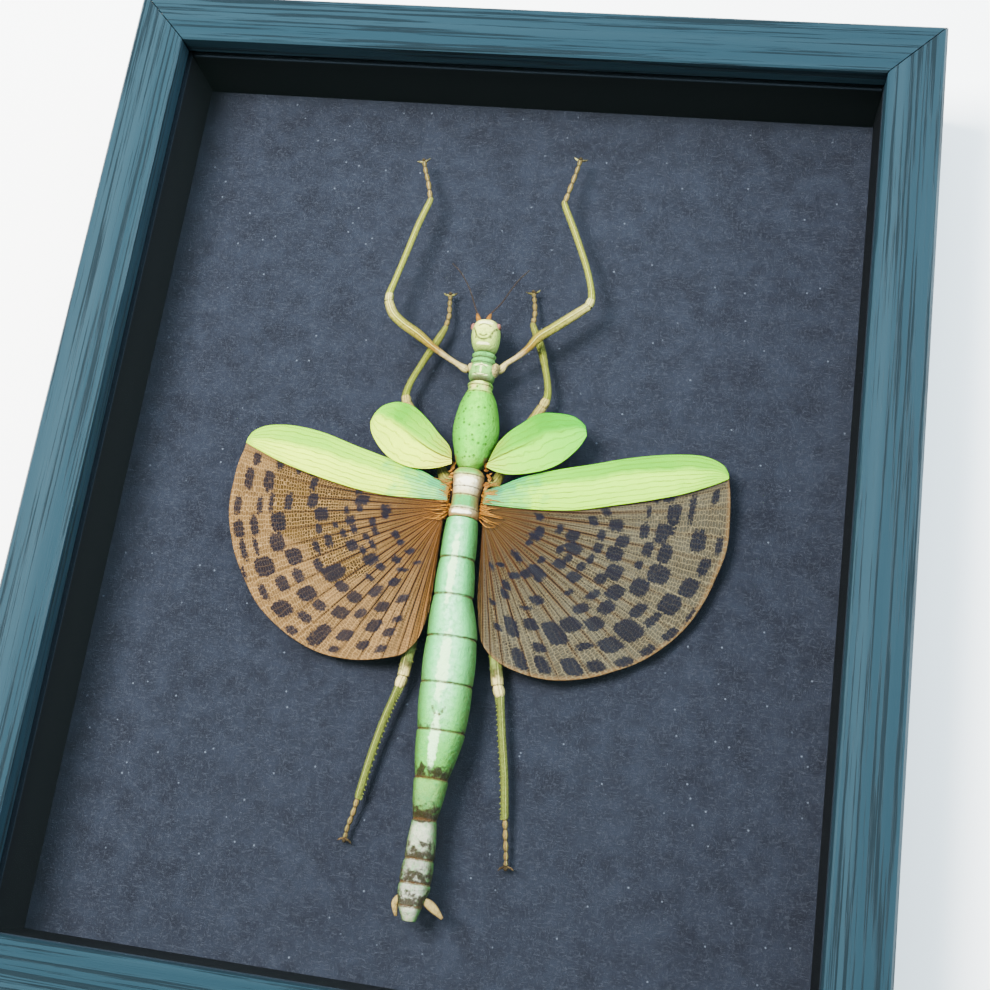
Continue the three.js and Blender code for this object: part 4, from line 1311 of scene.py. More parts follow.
@dataclass
class Leg:
    """One leg: coxa, femur, tibia and tarsus, its claws, pad and the teeth of a hind leg."""

    name: str
    kind: LegKind
    coxa: Points
    femur: Points
    tibia: Points
    tarsus: Points
    sides: int = 20
    faces: int = 5
    facet_share: float = 0.85
    joints: int = 5
    tarsus_width: float = 0.6
    claw_length: float = 2.5
    claw_radius: float = 0.38
    claw_splay: float = 1.2
    claw_bend: float = 0.4
    elbow_share: float = 0.6
    hook_share: float = 0.38
    pad_radius: float = 0.62
    pad_reach: float = 0.6
    tooth_length: float = 0.5
    tooth_radius: float = 0.26
    tooth_lean: float = 0.28

    def build(self) -> None:
        """Builds the leg."""
        form = self.kind.value
        shell = Shell(*BODY_VALUES)
        facing = self.facing()
        femur = self.stations([*self.coxa, *self.femur], [*form.coxa, *form.femur], 90)
        tibia = self.stations([self.femur[-1], *self.tibia, self.tarsus[0]], [1.25, *form.tibia, 0.7], 90)
        section = faceted(self.faces, self.facet_share)
        self.limb(shell, femur, (-0.2, 1.0), section, facing)
        self.limb(shell, tibia, (1.0, 2.0), section, facing)
        self.add_knee(shell)
        self.add_tarsus(shell, facing)
        self.add_foot(shell)
        for stations, count, start in ((femur, form.teeth[0], 0.2), (tibia, form.teeth[1], 1.0)):
            self.add_teeth(shell, stations, count, start)
        shell.finish(self.name, self.name, "leg_cuticle", form.finish.make())

    def facing(self) -> float:
        """1 where the side value already grows towards the body, otherwise -1."""
        ahead = np.sign(self.tibia[-1][1] - self.tibia[0][1])
        return float(-np.sign(self.femur[0][0]) * ahead)

    def stations(self, points: Points, widths: Sequence[float], steps: int) -> np.ndarray:
        """Runs stations through points.

        Args:
            points: rows of x, y and the height above the board.
            widths: the half width at each.
            steps: how many gaps lie between the stations.

        Returns:
            The stations.
        """
        flat = self.kind.value.flatness
        rows = [(x, y, BOARD_TOP + z, width, width * flat) for (x, y, z), width in zip(points, widths)]
        return smooth_path(rows, np.linspace(0, 1, steps + 1))

    def limb(
        self, shell: Shell, stations: np.ndarray, reach: tuple[float, float], section: Section, facing: float
    ) -> None:
        """Adds a long joint of the leg.

        Args:
            shell: the mesh to add to.
            stations: its stations.
            reach: its along value at both ends.
            section: its section.
            facing: -1 turns its side value round.
        """
        steps = np.diff(stations[:, :3], axis=0)
        run = np.concatenate([[0], np.cumsum(np.linalg.norm(steps, axis=1))])
        gap = np.minimum(run, run[-1] - run)
        along = np.linspace(*reach, len(stations))
        shell.tube(stations, self.sides, {"along": along, "seam": gap + 0.1}, section, facing=facing)

    def add_knee(self, shell: Shell) -> None:
        """Adds the knuckle between femur and tibia.

        Args:
            shell: the mesh to add to.
        """
        x, y, z = (np.array(self.femur[-1]) + np.array(self.tibia[0])) / 2
        width = self.kind.value.femur[-1]
        heading = np.array(self.tibia[0]) - np.array(self.femur[-1])
        turn = math.degrees(math.atan2(heading[1], heading[0])) - 90
        sizes = (width * 0.94, width * 1.3, width * 0.86)
        shell.lump((x, y, z + BOARD_TOP), sizes, {"along": 1.0, "seam": FAR}, turn)

    def add_tarsus(self, shell: Shell, facing: float) -> None:
        """Adds the five small joints of the tarsus, each swollen towards its outer end.

        Args:
            shell: the mesh to add to.
            facing: -1 turns its side value round.
        """
        count = self.joints * 8
        shares = np.linspace(0, 1, count + 1)
        route = smooth_path(self.tarsus, shares)
        phase = (shares * self.joints) % 1
        swell = 0.72 + 0.42 * np.sin(math.pi * phase**1.3) ** 1.2
        size = self.tarsus_width * swell * np.interp(shares, (0, 1), (1.15, 0.95))
        stations = raised(np.column_stack([route, size, size * 0.9]))
        length = float(np.linalg.norm(np.diff(route, axis=0), axis=1).sum())
        gap = np.minimum(phase, 1 - phase) * length / self.joints
        shell.tube(stations, 14, {"along": 2 + shares, "seam": gap}, facing=facing)

    def add_foot(self, shell: Shell) -> None:
        """Adds the two claws and the pad between them.

        Args:
            shell: the mesh to add to.
        """
        tip = Vector(self.tarsus[-1]) + Vector((0, 0, BOARD_TOP))
        before = Vector(self.tarsus[-2]) + Vector((0, 0, BOARD_TOP))
        heading = math.atan2(tip.y - before.y, tip.x - before.x)
        values = {"along": 2.9, "seam": FAR, "dark": 0.56}
        for side in (-1, 1):
            angle = heading + side * self.claw_splay
            course = Vector((math.cos(angle), math.sin(angle), -0.1))
            elbow = tip + course * self.claw_length * self.elbow_share
            angle -= side * self.claw_bend
            course = Vector((math.cos(angle), math.sin(angle), -0.4))
            end = elbow + course * self.claw_length * self.hook_share
            shell.spike(tip, elbow, self.claw_radius, values, 0.7)
            shell.spike(elbow, end, self.claw_radius * 0.72, values)
        pad = tip + Vector((math.cos(heading), math.sin(heading), 0)) * self.pad_reach
        shell.lump(pad, (self.pad_radius,) * 3, {**values, "dark": 0.9}, detail=2)

    def add_teeth(self, shell: Shell, stations: np.ndarray, count: int, start: float) -> None:
        """Adds a row of small teeth along the inner side.

        Args:
            shell: the mesh to add to.
            stations: the stations that they stand on.
            count: how many there are.
            start: where the row starts on this joint, 0 for its inner end.
        """
        inner = -math.copysign(1, self.femur[0][0])
        for share in np.linspace(start and 0.12, 0.94, count):
            x, y, z, width, _ = smooth_path(stations, np.array([share]))[0]
            foot = Vector((x + inner * width * 0.84, y, z + width * 0.24))
            tip = foot + Vector((inner * self.tooth_length, -self.tooth_lean, -0.1))
            shell.spike(foot, tip, self.tooth_radius, {"along": 1.5, "seam": FAR})


@dataclass
class Antenna:
    """One thread-thin antenna of many short joints."""

    name: str
    points: Points
    radius: float = 0.17
    taper: float = 0.35
    joint_count: int = 18

    def build(self) -> None:
        """Builds the antenna."""
        shares = np.linspace(0, 1, self.joint_count * 6 + 1)
        route = smooth_path(self.points, shares)
        phase = (shares * self.joint_count) % 1
        size = self.radius * (1 - self.taper * shares) * (0.9 + 0.18 * np.sin(math.pi * phase))
        shell = Shell(*BODY_VALUES)
        stations = raised(np.column_stack([route, size, size]))
        shell.tube(stations, 10, {"along": shares, "seam": shares + FAR})
        shell.finish(self.name, self.name, "antenna_cuticle", THREAD.make())


THREAD = Cuticle(
    name="antenna_cuticle", bands=((0.0, "#382818"), (0.1, "#281c14"), (1.0, "#2c2418")), flank="#18100c",
    mottle="#18100c", roughness=0.55,
)


@dataclass
class Tegmen:
    """Short leathery fore wing, folded along a keel. Both edges run from base to tip."""

    name: str
    front: Points
    rear: Points
    finish: LeafWing
    base_height: float = 11.0
    tip_height: float = 9.4
    keel_height: float = 2.2
    keel_lean: float = 1.2
    keel_fullness: float = 1.4
    keel_start: float = 0.42
    keel_shift: float = 0.22
    thickness: float = 0.32

    def place(self, along: np.ndarray, across: np.ndarray) -> Placed:
        """Places points of the wing.

        Args:
            along: how far from base to tip.
            across: how far from its rear edge to its front edge.

        Returns:
            The points and their values.
        """
        rear, front = smooth_path(self.rear, along), smooth_path(self.front, along)
        flat = rear + (front - rear) * across[:, None]
        keel = self.keel_start + self.keel_shift * along
        away = np.where(across < keel, (keel - across) / keel, (across - keel) / (1 - keel))
        rise = np.sin(math.pi * along**self.keel_lean) * (1 - away**self.keel_fullness)
        height = self.base_height + (self.tip_height - self.base_height) * along + self.keel_height * rise
        chord = np.linalg.norm(front - rear, axis=1)
        values = {
            "along": along,
            "across": 0.5 + 0.5 * np.where(across < keel, away, -away),
            "keel": (across - keel) * chord,
        }
        return np.column_stack([flat, BOARD_TOP + height]), values

    def build(self) -> None:
        """Builds the wing."""
        shell = Shell("along", "across", "keel")
        shell.sheet(110, 64, self.place)
        shell.finish(self.name, self.name, "leaf_wing", self.finish.make(), self.thickness)


@dataclass
class HindWing:
    """Hind wing: a stiff green strip in front and a pleated fan behind it.

    Both edges of the strip run from base to tip. The margin runs from the tip round to the body, and turn
    counts 0 to 1 along it. Spots are rows of turn, reach, width and length as shares of the fan.
    """

    side: str
    front: Points
    rear: Points
    margin: Points
    hinge: Points
    spots: Points
    overlap: Points
    strip_finish: LeafWing
    fan_finish: FanMembrane
    veins: tuple[float, ...] = (
        0.0, 0.045, 0.085, 0.12, 0.175, 0.23, 0.285, 0.345, 0.4, 0.46, 0.51, 0.56, 0.62, 0.68, 0.745, 0.79,
        0.83, 0.865, 0.9, 0.935, 0.97, 1.0,
    )
    strip_base: float = 9.6
    strip_tip: float = 7.0
    strip_camber: float = 1.2
    ledge_shift: float = -0.3
    ledge_drop: float = 0.34
    beside_turn: float = 0.12
    hinge_height: float = 9.0
    margin_heights: tuple[float, float, float] = (6.6, 3.6, 7.6)
    dip_end: float = 0.8
    dip_lean: float = 0.9
    pleat: float = 0.34
    crumple: float = 0.1
    zone_border: float = 0.012
    fringe_width: float = 1.6
    fringe_share: float = 0.7
    spot_squareness: float = 3.2
    spot_growth: float = 1.04
    strip_thickness: float = 0.3
    fan_thickness: float = 0.14

    def strip_height(self, along: np.ndarray) -> np.ndarray:
        """Height of the strip above the board."""
        return self.strip_base + (self.strip_tip - self.strip_base) * along

    def on_strip(self, along: np.ndarray, across: np.ndarray) -> Placed:
        """Places points of the strip.

        Args:
            along: how far from base to tip.
            across: how far from its front edge to its rear edge.

        Returns:
            The points and their values.
        """
        front, rear = smooth_path(self.front, along), smooth_path(self.rear, along)
        flat = front + (rear - front) * across[:, None]
        camber = self.strip_camber * np.sin(math.pi * across) * np.sin(math.pi * along)
        height = BOARD_TOP + self.strip_height(along) + camber
        return np.column_stack([flat, height]), {"along": along, "across": across, "keel": along + FAR}

    def fan_point(self, turn: np.ndarray, along: np.ndarray) -> np.ndarray:
        """Places points of the fan before its pleats.

        Args:
            turn: how far round from the strip to the body.
            along: how far from the hinge to the margin.

        Returns:
            The points.
        """
        start, end = np.array(self.hinge[0]), np.array(self.hinge[1])
        hinge = start + (end - start) * turn[:, None]
        flat = hinge + (smooth_path(self.margin, turn) - hinge) * along[:, None]
        tip, outer, body = self.margin_heights
        dip = np.sin(math.pi * np.minimum(1, turn / self.dip_end) ** self.dip_lean)
        rim = tip + (body - tip) * turn
        rim = rim + (outer - rim) * dip
        height = self.hinge_height + (rim - self.hinge_height) * along
        edge = smooth_path(self.rear, along) - (0, self.ledge_shift)
        beside = np.maximum(0, 1 - turn / self.beside_turn)
        flat = flat + (edge - flat) * beside[:, None]
        height = height + (self.strip_height(along) - self.ledge_drop - height) * beside
        return np.column_stack([flat, BOARD_TOP + height])

    def on_fan(self, turn: np.ndarray, along: np.ndarray) -> Placed:
        """Places points of the fan.

        Args:
            turn: how far round from the strip to the body.
            along: how far from the hinge to the margin.

        Returns:
            The points and their values.
        """
        count = np.arange(len(self.veins))
        ray = np.interp(turn, self.veins, count)
        points = self.fan_point(turn, along)
        hinge, rim = self.fan_point(turn, np.zeros_like(along)), self.fan_point(turn, np.ones_like(along))
        length = np.linalg.norm(rim - hinge, axis=1)
        step = 0.004
        ahead, back = np.minimum(turn + step, 1), np.maximum(turn - step, 0)
        nearby = self.fan_point(ahead, along) - self.fan_point(back, along)
        per_turn = np.linalg.norm(nearby, axis=1) / (ahead - back)
        veins = np.array(self.veins)
        spacing = np.interp(turn, (veins[1:] + veins[:-1]) / 2, np.diff(veins))
        beside = np.minimum(ray, 1)
        fold = self.pleat * np.sqrt(along) * np.cos(math.pi * ray) * beside
        crumple = self.crumple * along * beside * np.sin(turn * 83 + along * 9)
        crumple = crumple * np.sin(along * 31 + turn * 17)
        points[:, 2] += fold + crumple
        limit = np.interp(turn, *np.array(self.overlap).T)
        values = {
            "ray": ray,
            "reach": along * length,
            "gap": per_turn * spacing,
            "spot": self.spot_gap(turn, along, per_turn, length),
            "zone": fade(limit - along, -self.zone_border, self.zone_border) * fade(along, 0.36, 0.5),
            "fringe": self.fringe_share * fade((1 - along) * length, self.fringe_width, 0.2),
        }
        return points, values

    def spot_gap(
        self, turn: np.ndarray, along: np.ndarray, per_turn: np.ndarray, length: np.ndarray
    ) -> np.ndarray:
        """The distance to the nearest spot's outline.

        Args:
            turn: how far round the points lie.
            along: how far out they lie.
            per_turn: how many millimetres a whole turn has there.
            length: the distance from hinge to margin there.

        Returns:
            The distances in millimetres, negative inside a spot.
        """
        gap = np.full(len(turn), FAR)
        for at, reach, width, tall in self.spots:
            right = np.abs(turn - at) / (width * self.spot_growth / 2)
            ahead = np.abs(along - reach) / (tall * self.spot_growth / 2)
            radius = (right**self.spot_squareness + ahead**self.spot_squareness) ** (1 / self.spot_squareness)
            size = np.minimum(width * per_turn, tall * length) / 2
            gap = np.minimum(gap, (radius - 1) * size)
        return gap

    def build(self) -> None:
        """Builds the strip and the fan."""
        node = f"hind_wing_{self.side}"
        shell = Shell("along", "across", "keel")
        shell.sheet(190, 40, self.on_strip)
        shell.finish(f"{node}_strip", node, "leaf_wing", self.strip_finish.make(), self.strip_thickness)
        shell = Shell("ray", "reach", "gap", "spot", "zone", "fringe")
        shell.sheet(250, 150, self.on_fan)
        shell.finish(f"{node}_fan", node, "fan_wing", self.fan_finish.make(), self.fan_thickness)


@dataclass
class BoxFrame:
    """The box: its CAD solids get their finishes, and the foam blocks under the insect are shaped."""

    uprights: tuple[str, ...] = ("frame_bar_left", "frame_bar_right")
    levels: tuple[str, ...] = ("frame_bar_top", "frame_bar_bottom")
    liners: tuple[str, ...] = ("liner_left", "liner_right", "liner_top", "liner_bottom")
    fittings: tuple[str, ...] = (
        "retaining_clip_left_upper", "retaining_clip_left_lower", "retaining_clip_right_upper",
        "retaining_clip_right_lower", "retaining_clip_bottom", "retaining_clip_top", "hanger",
        "hanger_screw_left", "hanger_screw_right",
    )
    supports: tuple[str, ...] = ("thorax_support", "abdomen_support")
    foam_bevel: float = 0.8
    foam_hollow: float = 0.7

    def dress(self, nodes: Sequence[str], material: bpy.types.Material) -> None:
        """Gives CAD nodes a material.

        Args:
            nodes: the names of the nodes.
            material: their material.
        """
        for node in nodes:
            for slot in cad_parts[node].material_slots:
                slot.material = material
            LOG.info("dressed %s in %s", node, material.name)

    def build(self) -> None:
        """Dresses the box and shapes its foam blocks."""
        self.dress(self.uprights, StainedWood(Grain.UPRIGHT).make())
        self.dress(self.levels, StainedWood(Grain.LEVEL).make())
        self.dress(self.liners, LinerPaper().make())
        self.dress(("glass_pane",), FloatGlass().make())
        self.dress(("mount_board",), SlatePaper().make())
        self.dress(("back_panel",), HARDBOARD.make())
        self.dress(self.fittings, PLATED_STEEL.make())
        foam = FOAM.make()
        for node in self.supports:
            self.add_support(node, foam)

    def add_support(self, node: str, material: bpy.types.Material) -> None:
        """Shapes one foam block with rounded edges and a hollow top for the body.

        Args:
            node: the node that it replaces.
            material: its material.
        """
        low, high = (Vector(corner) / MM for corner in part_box(node))
        shell = Shell("along")
        cube = bmesh.ops.create_cube(shell.bm, size=1.0)["verts"]
        middle, size = (low + high) / 2, high - low
        bmesh.ops.transform(shell.bm, matrix=Matrix.Diagonal((*(size * MM), 1.0)), verts=cube)
        bmesh.ops.translate(shell.bm, vec=middle * MM, verts=cube)
        bmesh.ops.bevel(
            shell.bm, geom=list(shell.bm.edges), offset=self.foam_bevel * MM, segments=3, profile=0.5,
            affect="EDGES", material=-1,
        )
        bmesh.ops.subdivide_edges(shell.bm, edges=list(shell.bm.edges), cuts=6, use_grid_fill=True)
        for vert in shell.bm.verts:
            inward = 1 - min(1, abs(vert.co.x / MM - middle.x) / (size.x / 2)) ** 2
            share = max(0, (vert.co.z / MM - middle.z) / (size.z / 2))
            vert.co.z -= self.foam_hollow * inward * share * MM
        shell.finish(node, node, "black_foam", material)


HARDBOARD = Plain("hardboard", "#9a7a54", "#7c5e3c", 0.9, 0.85)
PLATED_STEEL = Plain("zinc_plated_steel", "#c6c9cc", "#a4a8ac", 3.0, 0.34, metallic=1.0, stretch=(1, 0.15, 1))
FOAM = Plain("dense_foam", "#232326", "#131315", 2.4, 0.95, relief=0.2)


@dataclass
class Studio:
    """Camera at the photograph's viewing angle, pale floor, soft lights and a pale surrounding."""

    camera_place: tuple[float, float, float] = (63.63, -89.61, 359.44)
    ahead: tuple[float, float, float] = (-0.15864, 0.2626, -0.95177)
    up: tuple[float, float, float] = (-0.10049, 0.95468, 0.28015)
    lens: float = 47.607
    aim: tuple[float, float, float] = (0.0, 0.0, 20.0)
    floor_half: float = 2500.0
    floor_colour: str = "#f6f9fa"
    backdrop_colour: str = "#e8f1f6"
    backdrop_strength: float = 0.55

    def build(self) -> None:
        """Sets the studio up."""
        self.add_camera()
        self.add_floor()
        self.add_light("key", (-260, 90, 640), 0.26, 34.0, "#fff8f0", mirrored=False)
        self.add_light("overhead", (120, 340, 620), 0.55, 11.0, "#e2f2ff", mirrored=False)
        self.add_light("right_panel", (740, 190, 260), 0.6, 18.0, "#d8f2ff")
        self.add_light("left_panel", (-720, 100, 260), 0.5, 6.0, "#e6f4ff")
        world = bpy.data.worlds.new("studio")
        world.use_nodes = True
        backdrop = world.node_tree.nodes["Background"]
        backdrop.inputs["Color"].default_value = linear(self.backdrop_colour)
        backdrop.inputs["Strength"].default_value = self.backdrop_strength
        bpy.context.scene.world = world

    def add_camera(self) -> None:
        """Adds the camera."""
        camera = bpy.data.objects.new("camera", bpy.data.cameras.new("camera"))
        bpy.context.scene.collection.objects.link(camera)
        ahead, up = Vector(self.ahead).normalized(), Vector(self.up).normalized()
        right = ahead.cross(up).normalized()
        turn = Matrix((right, right.cross(ahead), -ahead)).transposed().to_4x4()
        camera.matrix_world = Matrix.Translation(Vector(self.camera_place) * MM) @ turn
        camera.data.lens = self.lens
        camera.data.sensor_width = 36.0
        camera.data.clip_start = 0.01
        bpy.context.scene.camera = camera

    def add_floor(self) -> None:
        """Adds the pale floor under the box."""
        bm = bmesh.new()
        bmesh.ops.create_grid(bm, x_segments=1, y_segments=1, size=self.floor_half * MM)
        mesh = bpy.data.meshes.new("floor")
        bm.to_mesh(mesh)
        bm.free()
        floor = bpy.data.objects.new("floor", mesh)
        bpy.context.scene.collection.objects.link(floor)
        recipe = Recipe("studio_floor")
        mesh.materials.append(recipe.close({"Base Color": linear(self.floor_colour), "Roughness": 0.8}))

    def add_light(
        self, name: str, place: Sequence[float], size: float, power: float, colour: str, mirrored: bool = True
    ) -> None:
        """Adds a square area light that faces the box.

        Args:
            name: its name.
            place: its place in millimetres.
            size: its side in metres.
            power: its power in watts.
            colour: its colour.
            mirrored: whether glass and glossy surfaces mirror it.
        """
        data = bpy.data.lights.new(name, "AREA")
        data.size = size
        data.energy = power
        data.color = linear(colour)[:3]
        light = bpy.data.objects.new(name, data)
        light.location = Vector(place) * MM
        light.rotation_euler = (Vector(self.aim) - Vector(place)).to_track_quat("-Z", "Y").to_euler()
        light.visible_glossy = mirrored
        bpy.context.scene.collection.objects.link(light)


# The two tegmina share one real colouring; the left copy is paler as painted light and the right darker as
# painted shade.
LEFT_TEGMEN_LIT = LeafWing(
    name="left_tegmen_leather",
    front=((0.0, "#848c20"), (0.35, "#6cac00"), (0.6, "#3c8c00"), (0.85, "#60ac00"), (1.0, "#80b400")),
    rear=((0.0, "#b8b830"), (0.4, "#c8e800"), (1.0, "#a0c800")),
    fold=0.5, veins=7.0, vein_share=0.5, vein_sway=0.4,
)
RIGHT_TEGMEN_SHADED = LeafWing(
    name="right_tegmen_leather",
    front=((0.0, "#6c8c18"), (0.35, "#449800"), (0.6, "#2c8000"), (1.0, "#289c08")),
    rear=((0.0, "#98b028"), (0.4, "#7ccc00"), (0.8, "#5cbc00"), (1.0, "#48b408")),
    fold=0.5, veins=7.0, vein_share=0.5, vein_sway=0.4,
)
# The two strips share one real colouring; the left copy is paler as painted light and the right darker as
# painted shade.
LEFT_STRIP_LIT = LeafWing(
    name="left_strip_leather",
    front=((0.0, "#705018"), (0.06, "#1e7850"), (0.18, "#2c9450"), (0.34, "#84bc00"), (0.6, "#70b000"),
           (1.0, "#84b800")),
    rear=((0.0, "#705018"), (0.06, "#3c9060"), (0.22, "#74bc48"), (0.34, "#b4dc00"), (0.7, "#c0e400"),
          (1.0, "#98c800")),
    fold=0.45,
)
RIGHT_STRIP_SHADED = LeafWing(
    name="right_strip_leather",
    front=((0.0, "#645018"), (0.06, "#1a704c"), (0.18, "#208848"), (0.32, "#58a800"), (0.6, "#489800"),
           (1.0, "#60a800")),
    rear=((0.0, "#645018"), (0.06, "#388c5c"), (0.2, "#5cb040"), (0.32, "#90d000"), (0.7, "#98d800"),
          (1.0, "#74bc00")),
    fold=0.38,
)
# The two fans share one real colouring; the left copy is paler and warmer as painted light, the right darker
# and greyer as painted shade.
LEFT_FAN_LIT = FanMembrane(
    name="left_fan_membrane", membrane="#5c4626", inner="#4c3616", root="#643f10", zone="#3c2c0c",
    net="#90744c",
)
RIGHT_FAN_SHADED = FanMembrane(
    name="right_fan_membrane", membrane="#38362c", inner="#342a18", root="#4c3810", zone="#2c2814",
    net="#6c6448",
)

HEAD_RINGS = (
    (51.9, -2.7, 0.9, 1.4), (51.0, -4.1, 2.1, 2.9), (49.2, -4.8, 2.9, 3.8), (46.6, -4.8, 3.2, 4.1),
    (44.2, -4.2, 3.0, 3.7), (42.9, -3.5, 2.6, 3.1), (42.3, -2.9, 2.1, 2.5),
)
PROTHORAX_RINGS = (
    (42.0, -3.2, 2.4, 2.4), (41.4, -3.8, 2.9, 2.9), (40.5, -3.4, 2.6, 2.6), (39.7, -3.8, 2.9, 3.0),
    (38.9, -3.5, 2.6, 2.8), (37.6, -3.9, 3.2, 3.3), (35.4, -3.9, 3.3, 3.3), (34.3, -3.6, 3.2, 3.0),
    (33.7, -3.1, 2.8, 2.5),
)
MESOTHORAX_RINGS = (
    (33.4, -3.1, 2.8, 2.5), (32.6, -3.8, 3.3, 3.1), (31.4, -3.4, 3.1, 2.9), (30.5, -3.7, 3.6, 3.3),
    (28.2, -4.6, 4.8, 4.1), (25.0, -5.4, 5.8, 4.8), (20.5, -5.9, 6.7, 5.3), (17.0, -5.6, 6.6, 5.3),
    (13.5, -4.7, 5.5, 4.8), (10.5, -3.8, 4.5, 4.2), (8.6, -2.5, 2.9, 3.0),
)
METATHORAX_RINGS = (
    (8.3, -3.1, 3.5, 3.0), (7.0, -4.0, 4.6, 3.8), (4.4, -3.6, 4.5, 4.1), (1.5, -3.4, 4.2, 4.1),
    (-1.5, -3.2, 4.1, 4.1), (-3.6, -3.6, 4.6, 4.2), (-5.3, -3.3, 4.4, 4.0),
)


def body_pieces() -> list[Trunk]:
    """Lists the pieces of the body.

    Returns:
        The pieces, front to rear.
    """
    head = Head(
        "head", "pale_cuticle", HEAD_RINGS, PALE_GREEN,
        lines=(
            Arc(-0.9, 47.6, 2.3, 2.6, 195, 345), Arc(-0.9, 48.0, 2.0, 1.6, 30, 150),
            Arc(-0.9, 46.9, 1.1, 0.9, 200, 340), Arc(-5.6, 45.4, 2.6, 4.0, 0, 60),
            Arc(3.8, 45.4, 2.6, 4.0, 120, 180),
        ),
        pale_ovals=(Arc(-0.9, 50.1, 2.2, 0.6), Arc(-0.9, 43.9, 1.8, 0.4)),
        dark_ovals=(Arc(-0.9, 51.7, 0.5, 0.5),),
        steps=130, sides=110,
    )
    prothorax = Prothorax(
        "prothorax", "neck_cuticle", PROTHORAX_RINGS, NECK,
        lines=(Arc(-0.3, 36.3, 1.7, 1.4, 20, 160), Arc(-0.3, 36.0, 1.9, 1.2, 200, 340)),
        pale_ovals=(Arc(-0.3, 36.9, 0.34, 1.7), Arc(-0.3, 37.7, 2.4, 0.3), Arc(-0.3, 35.0, 2.2, 0.24)),
        ring_seams=(40.5, 38.9),
    )
    mesothorax = Trunk(
        "mesothorax", "thorax_cuticle", MESOTHORAX_RINGS, THORAX, steps=110, sides=72,
        ridge_turns=(TOP_TURN, TOP_TURN - 0.55, TOP_TURN + 0.55), ridge_height=0.014,
        pale_ovals=(Arc(-0.2, 32.9, 1.2, 0.7),),
        dark_ovals=(Arc(-4.1, 10.4, 0.8, 1.5), Arc(4.8, 10.4, 0.8, 1.5)),
        ring_seams=(32.2, 30.2),
    )
    metathorax = Trunk(
        "metathorax", "cream_cuticle", METATHORAX_RINGS, HINGE, steps=80,
        ring_seams=(6.3, 2.9, 0.7, -3.1),
        ridge_turns=(TOP_TURN - 0.5, TOP_TURN + 0.5), ridge_height=0.05,
        pale_ovals=(Arc(0.5, 4.6, 2.4, 1.0), Arc(0.4, -4.2, 3.0, 0.5)),
        dark_ovals=(Arc(-3.4, 1.2, 0.5, 2.4), Arc(4.3, 1.2, 0.5, 2.4)),
    )
    abdomen = Abdomen(
        "abdomen", "abdomen_cuticle", (), ABDOMEN, steps=330, sides=64,
        ridge_turns=(TOP_TURN - 0.75, TOP_TURN + 0.75, TOP_TURN), ridge_height=0.018, ridge_width=0.06,
        lines=(Arc(5.2, -54.6, 4.4, 4.6, 190, 232), Arc(-0.1, -54.6, 4.4, 4.6, 308, 350)),
        dark_ovals=(
            Arc(0.3, -71.6, 0.8, 1.6), Arc(4.8, -71.9, 0.8, 1.5), Arc(3.0, -92.3, 1.3, 0.7),
            Arc(4.0, -97.0, 0.8, 1.0), Arc(2.0, -83.4, 2.6, 1.1),
        ),
        # painted highlight: long pale streaks along the top middle of the abdomen, just left of centre
        pale_ovals=(Arc(2.2, -45, 1.5, 9), Arc(2.6, -64, 1.3, 7), Arc(0.6, -20, 1.0, 10)),
    )
    return [head, prothorax, mesothorax, metathorax, abdomen]


@dataclass
class WingHinge:
    """The knotted golden-brown joints between the thorax and one hind wing, with their fine tendons."""

    side: str
    outward: float
    root: float
    seed: int
    knot_count: int = 24
    knot_sizes: tuple[float, float] = (0.25, 0.75)
    knot_spread: tuple[float, float] = (-0.3, 1.7)
    knots_from: float = 10.4
    knots_to: float = -4.8
    tendon_count: int = 26
    tendon_radii: tuple[float, float] = (0.09, 0.2)
    tendons_from: float = 4.8
    tendons_to: float = -6.4
    tendon_length: float = 5.4

    def build(self) -> None:
        """Builds the hinge."""
        chance = np.random.default_rng(self.seed)
        shell = Shell(*BODY_VALUES)
        for y in np.linspace(self.knots_from, self.knots_to, self.knot_count):
            self.add_knot(shell, chance, y)
        for y in np.linspace(self.tendons_from, self.tendons_to, self.tendon_count):
            self.add_tendon(shell, chance, y)
        shell.finish(f"wing_hinge_{self.side}", "metathorax", "cream_cuticle", SINEW.make())

    def add_knot(self, shell: Shell, chance: np.random.Generator, y: float) -> None:
        """Adds one uneven knot.

        Args:
            shell: the mesh to add to.
            chance: where its sizes are drawn from.
            y: its rough place.
        """
        size = chance.uniform(*self.knot_sizes)
        x = self.root + self.outward * chance.uniform(*self.knot_spread)
        place = (x, y + chance.uniform(-0.3, 0.3), BODY_AXIS + chance.uniform(-1.2, 0.6))
        values = {"along": chance.uniform(0, 1), "seam": FAR}
        shell.lump(place, (size * 1.7, size * 0.7, size * 0.7), values, chance.uniform(0, 180))

    def add_tendon(self, shell: Shell, chance: np.random.Generator, y: float) -> None:
        """Adds one tendon.

        Args:
            shell: the mesh to add to.
            chance: where its sizes are drawn from.
            y: its rough place.
        """
        shares = np.linspace(0, 1, 9)
        reach = self.outward * self.tendon_length * chance.uniform(0.5, 1.25)
        drift = chance.uniform(-1.1, 0.8)
        start = (self.root, y * 0.75, BODY_AXIS + chance.uniform(-0.4, 0.4))
        sway, lift = chance.uniform(-0.8, 0.8), chance.uniform(0.5, 1)
        bend = (self.root + reach / 2, y + drift / 2 + sway, BODY_AXIS + lift)
        end = (self.root + reach, y + drift, BODY_AXIS + 0.4)
        size = chance.uniform(*self.tendon_radii) * (1.1 - 0.6 * shares)
        route = smooth_path((start, bend, end), shares)
        shell.tube(np.column_stack([route, size, size]), 8, {"along": shares, "seam": shares + FAR})


SINEW = Cuticle(
    name="hinge_sinew", bands=((0.0, "#704410"), (0.5, "#9c6c28"), (1.0, "#583410")), flank="#3c2410",
    mottle="#3c2810", mottle_share=0.8, mottle_per_mm=1.6, roughness=0.5,
)


